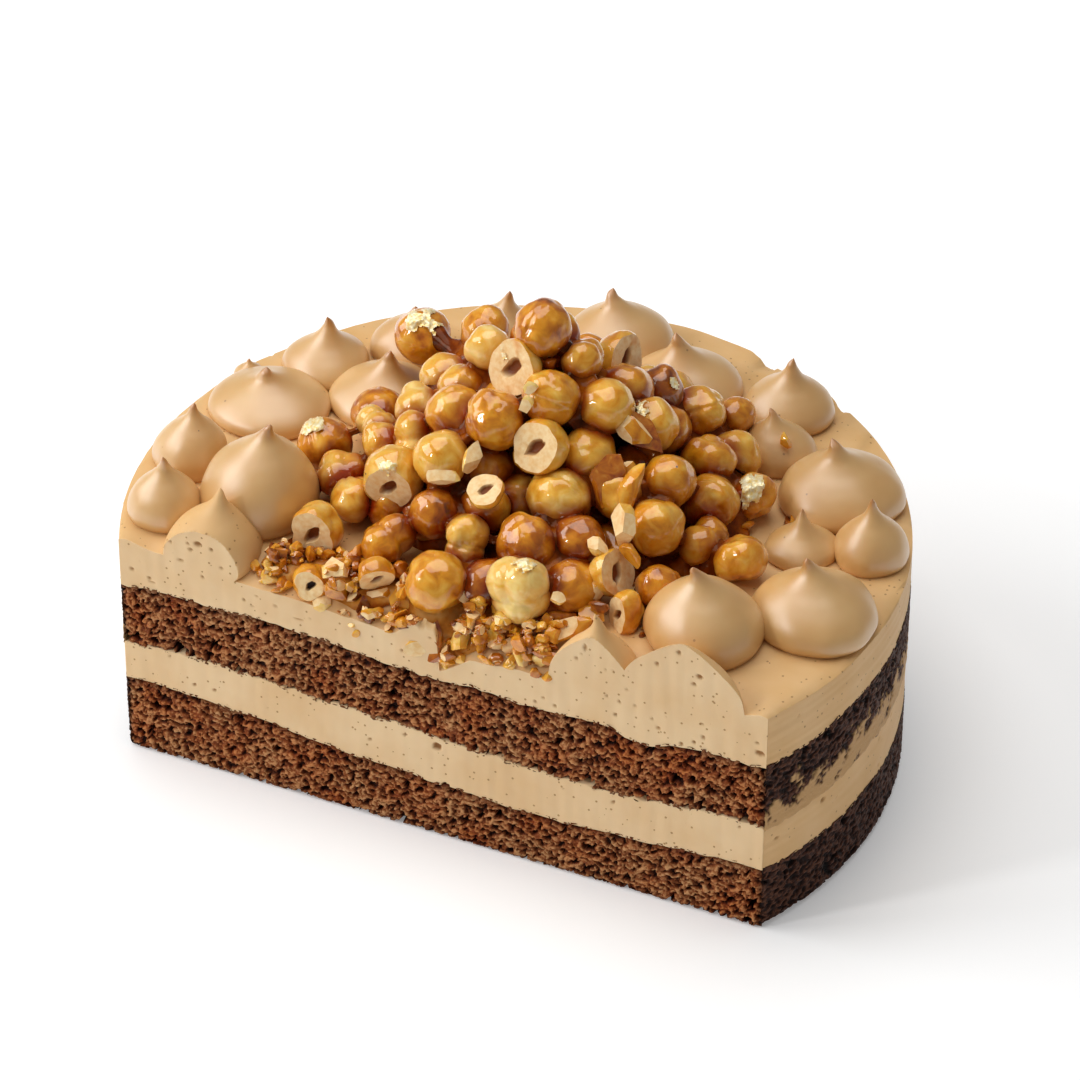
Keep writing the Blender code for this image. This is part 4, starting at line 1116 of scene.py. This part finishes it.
evaluated = bpy.context.evaluated_depsgraph_get()
caramel_tree = BVHTree.FromObject(bpy.data.objects["caramel"], evaluated)
mousse_tree = BVHTree.FromObject(top_mousse, evaluated)
cut_nut_tree = BVHTree.FromObject(bpy.data.objects["cut_hazelnuts"], evaluated)
solid_trees = [nut_tree, caramel_tree, mousse_tree, cut_nut_tree]


def first_hit(start, way, trees):
    """Nearest point that a ray meets on any of the trees, or None."""
    hits = [tree.ray_cast(start, way) for tree in trees]
    hits = [(hit[3], hit[0]) for hit in hits if hit[0]]
    return min(hits, key=lambda hit: hit[0])[1] if hits else None


bm = bmesh.new()
new_layers(bm, "tint", "hollow")
rng = random.Random(5)
for x, y, z, long, wide, thick, degrees, tint, *kind in BITS:
    across = turned(degrees)
    sizes = (long * MM, wide * MM, thick * BIT_THICKER * MM)
    add_bit(bm, Vector((x, y, z)) * MM, sizes, (across, SIGHT.cross(across), SIGHT), tint,
            kind[0] if kind else "skin", rng)
for layer in range(PILE_LAYERS):
    bits_tree = BVHTree.FromBMesh(bm)
    for count, left, right, front, back in BIT_BANDS:
        for _ in range(count // PILE_LAYERS):
            size = (1.5 + 3.5 * rng.uniform(0, 1) ** 1.8) * MM
            over = Vector((rng.uniform(left, right) * MM, rng.uniform(front, back) * MM, ABOVE_ALL))
            spot = first_hit(over, Vector((0, 0, -1)), solid_trees + [bits_tree])
            if spot is None or cut_nut_tree.find_nearest(spot)[3] < CLEAR_OF_CUTS:
                continue
            if spot.z < PILE_TOP - layer * 1.5 * MM:
                sizes = (size, size * rng.uniform(0.5, 1), size * rng.uniform(0.3, 0.8))
                kind = rng.choice(("flesh", "skin", "skin", "skin"))
                tint = rng.uniform(0.35, 0.95)
                add_bit(bm, spot + Vector((0, 0, size * 0.15)), sizes, random_axes(rng), tint, kind, rng)

# Amber caramel glass: a thin orange shard of set caramel, half clear, with a sharp gloss.
amber_glass, tree, shader, place = start_material("amber_caramel_glass", {
    "Roughness": 0.08, "Coat Weight": 1.0, "Coat Roughness": 0.03, "Transmission Weight": 0.35})
swirl = add_node(tree, "TexNoise", {"Vector": place, "Scale": 1 / (3 * MM), "Detail": 2.0,
                                    "Distortion": 1.0})
orange = add_node(tree, "ValToRGB", {"Fac": swirl}, stops=(
    (0.3, "#A2440A"), (0.55, "#D87C14"), (0.75, "#F0A83C")))
tree.links.new(orange.outputs["Color"], shader.inputs["Base Color"])
finish_piece("chopped_hazelnuts", bm, [glazed_nut, nut_flesh, amber_glass], sharp=35)

# Gold leaf
# Scraps of edible gold leaf, thinner than paper, torn and crumpled with tweezers. They lie on the
# nuts and stand up at their edges.
# Each row: place, width and height in mm, and degrees from level in the picture.
GOLD = (
    (-51.5, -23.6, 71.9, 11, 7, 25), (-40, 10.6, 83.2, 12, 6.4, -15), (-23.1, -41.6, 79.8, 4.8, 4.2, 0),
    (-6.2, -20, 98.9, 10, 3.6, 78), (26.1, 6, 86.9, 4, 3.4, 0), (24, -8.1, 88.2, 4.6, 4.4, 30),
    (49.1, -3.7, 71.1, 6.6, 11, -10), (16.7, -55.7, 74.3, 5.6, 4, 15))
GOLD_THICK = 0.06 * MM
GOLD_CELL = 0.3 * MM
GOLD_REACH = 5 * MM
GOLD_START = 30 * MM
GOLD_LIFT = 0.7
bm = bmesh.new()
for x, y, z, wide, tall, degrees in GOLD:
    old = set(bm.verts)
    bmesh.ops.create_grid(bm, x_segments=int(wide * MM / GOLD_CELL),
                          y_segments=int(tall * MM / GOLD_CELL), size=0.5)
    centre = Vector((x, y, z)) * MM
    fresh = [vert for vert in bm.verts if vert not in old]
    torn = [vert for vert in fresh
            if Vector((vert.co.x, vert.co.y)).length > 0.4 + 0.35 * noise.noise(vert.co * 4 + centre * 999)]
    across = turned(degrees)
    for vert in fresh:
        spot = centre + across * vert.co.x * wide * MM + SIGHT.cross(across) * vert.co.y * tall * MM
        hit = first_hit(spot + SIGHT * GOLD_START, -SIGHT, solid_trees)
        height = (hit - spot).dot(SIGHT) if hit else -1
        if abs(height) > GOLD_REACH:
            torn.append(vert)
        crumple = noise.noise(spot / (2.2 * MM)) * 1.2 + noise.noise(spot / (0.8 * MM)) * 0.25
        vert.co = spot + SIGHT * (clamp(height, -GOLD_REACH, GOLD_REACH) + (GOLD_LIFT + crumple) * MM)
    bmesh.ops.delete(bm, geom=list(set(torn)), context="VERTS")
bmesh.ops.solidify(bm, geom=bm.faces[:], thickness=GOLD_THICK)

# Gold leaf: bright pale gold metal, creased, so it glints in points; its colour also runs from gold to
# near white in random patches, which are painted glints.
gold_leaf, tree, shader, place = start_material("crumpled_gold_leaf", {
    "Roughness": 0.3, "Metallic": 0.25})
crease = add_node(tree, "TexNoise", {"Vector": place, "Scale": 1 / (0.9 * MM), "Detail": 3.0})
# Painted glints: the colour runs from gold to near white with the crease noise.
gold_with_painted_glints = add_node(tree, "ValToRGB", {"Fac": crease}, stops=((0.35, "#F0CC74"), (0.6, "#FFF4CC")))
bump = add_node(tree, "Bump", {"Height": crease, "Strength": 0.8, "Distance": 0.4 * MM})
dress(tree, shader, gold_with_painted_glints.outputs["Color"], bump)
finish_piece("gold_leaf", bm, [gold_leaf], sharp=30)

# Stage
# A pale floor, broad lights from the left and overhead, a small one for the glints and a bright room. The
# camera stands as the photographer's did, worked out from the rim and the corners of the cut.
FLOOR_SIZE = 6.0
CAMERA_PLACE = Vector((0.37014, -0.83384, 0.70430))
CAMERA_AIM = Vector((-0.025716, 0.047063, 0.0))
CAMERA_ROLL = math.radians(0.186)
CAMERA_LENS = 161.735
FLOOR_GLOW = 0.2
ROOM_LIGHT = 0.2

floor_bm = bmesh.new()
bmesh.ops.create_grid(floor_bm, x_segments=1, y_segments=1, size=FLOOR_SIZE / 2)
floor_mesh = bpy.data.meshes.new("floor")
floor_bm.to_mesh(floor_mesh)
floor_bm.free()
floor = bpy.data.objects.new("floor", floor_mesh)
bpy.context.scene.collection.objects.link(floor)
floor_paint, tree, shader, place = start_material("pale_matt_paper", {
    "Roughness": 0.9, "Base Color": linear("#F7F7F7"), "Emission Color": (1, 1, 1, 1),
    "Emission Strength": FLOOR_GLOW})
floor_mesh.materials.append(floor_paint)

camera = bpy.data.objects.new("camera", bpy.data.cameras.new("camera"))
camera.data.lens = CAMERA_LENS
camera.data.sensor_width = 36
camera.data.clip_start = 0.05
camera.data.clip_end = 20
camera.location = CAMERA_PLACE
turn = (CAMERA_AIM - CAMERA_PLACE).to_track_quat("-Z", "Y")
camera.rotation_mode = "QUATERNION"
camera.rotation_quaternion = turn @ Matrix.Rotation(CAMERA_ROLL, 3, "Z").to_quaternion()
bpy.context.scene.collection.objects.link(camera)
bpy.context.scene.camera = camera


def soft_light(name, place, aim, width, height, power):
    light = bpy.data.objects.new(name, bpy.data.lights.new(name, "AREA"))
    light.data.shape = "RECTANGLE"
    light.data.size = width
    light.data.size_y = height
    light.data.energy = power
    light.location = place
    light.rotation_mode = "QUATERNION"
    light.rotation_quaternion = (Vector(aim) - Vector(place)).to_track_quat("-Z", "Y")
    bpy.context.scene.collection.objects.link(light)


soft_light("key_light", (-1.15, -0.35, 0.8), (0, 0, 0.05), 0.8, 0.8, 9.2)
soft_light("top_light", (-0.25, 0.25, 1.5), (0, 0, 0), 1.4, 1.4, 15)
soft_light("window_light", (-0.8, -0.9, 0.9), (0, 0, 0.07), 0.13, 0.26, 3.4)
world = bpy.data.worlds.new("room")
world.use_nodes = True
background = world.node_tree.nodes["Background"]
background.inputs["Color"].default_value = (1, 1, 1, 1)
background.inputs["Strength"].default_value = ROOM_LIGHT
bpy.context.scene.world = world
bpy.context.scene.view_settings.view_transform = "Standard"
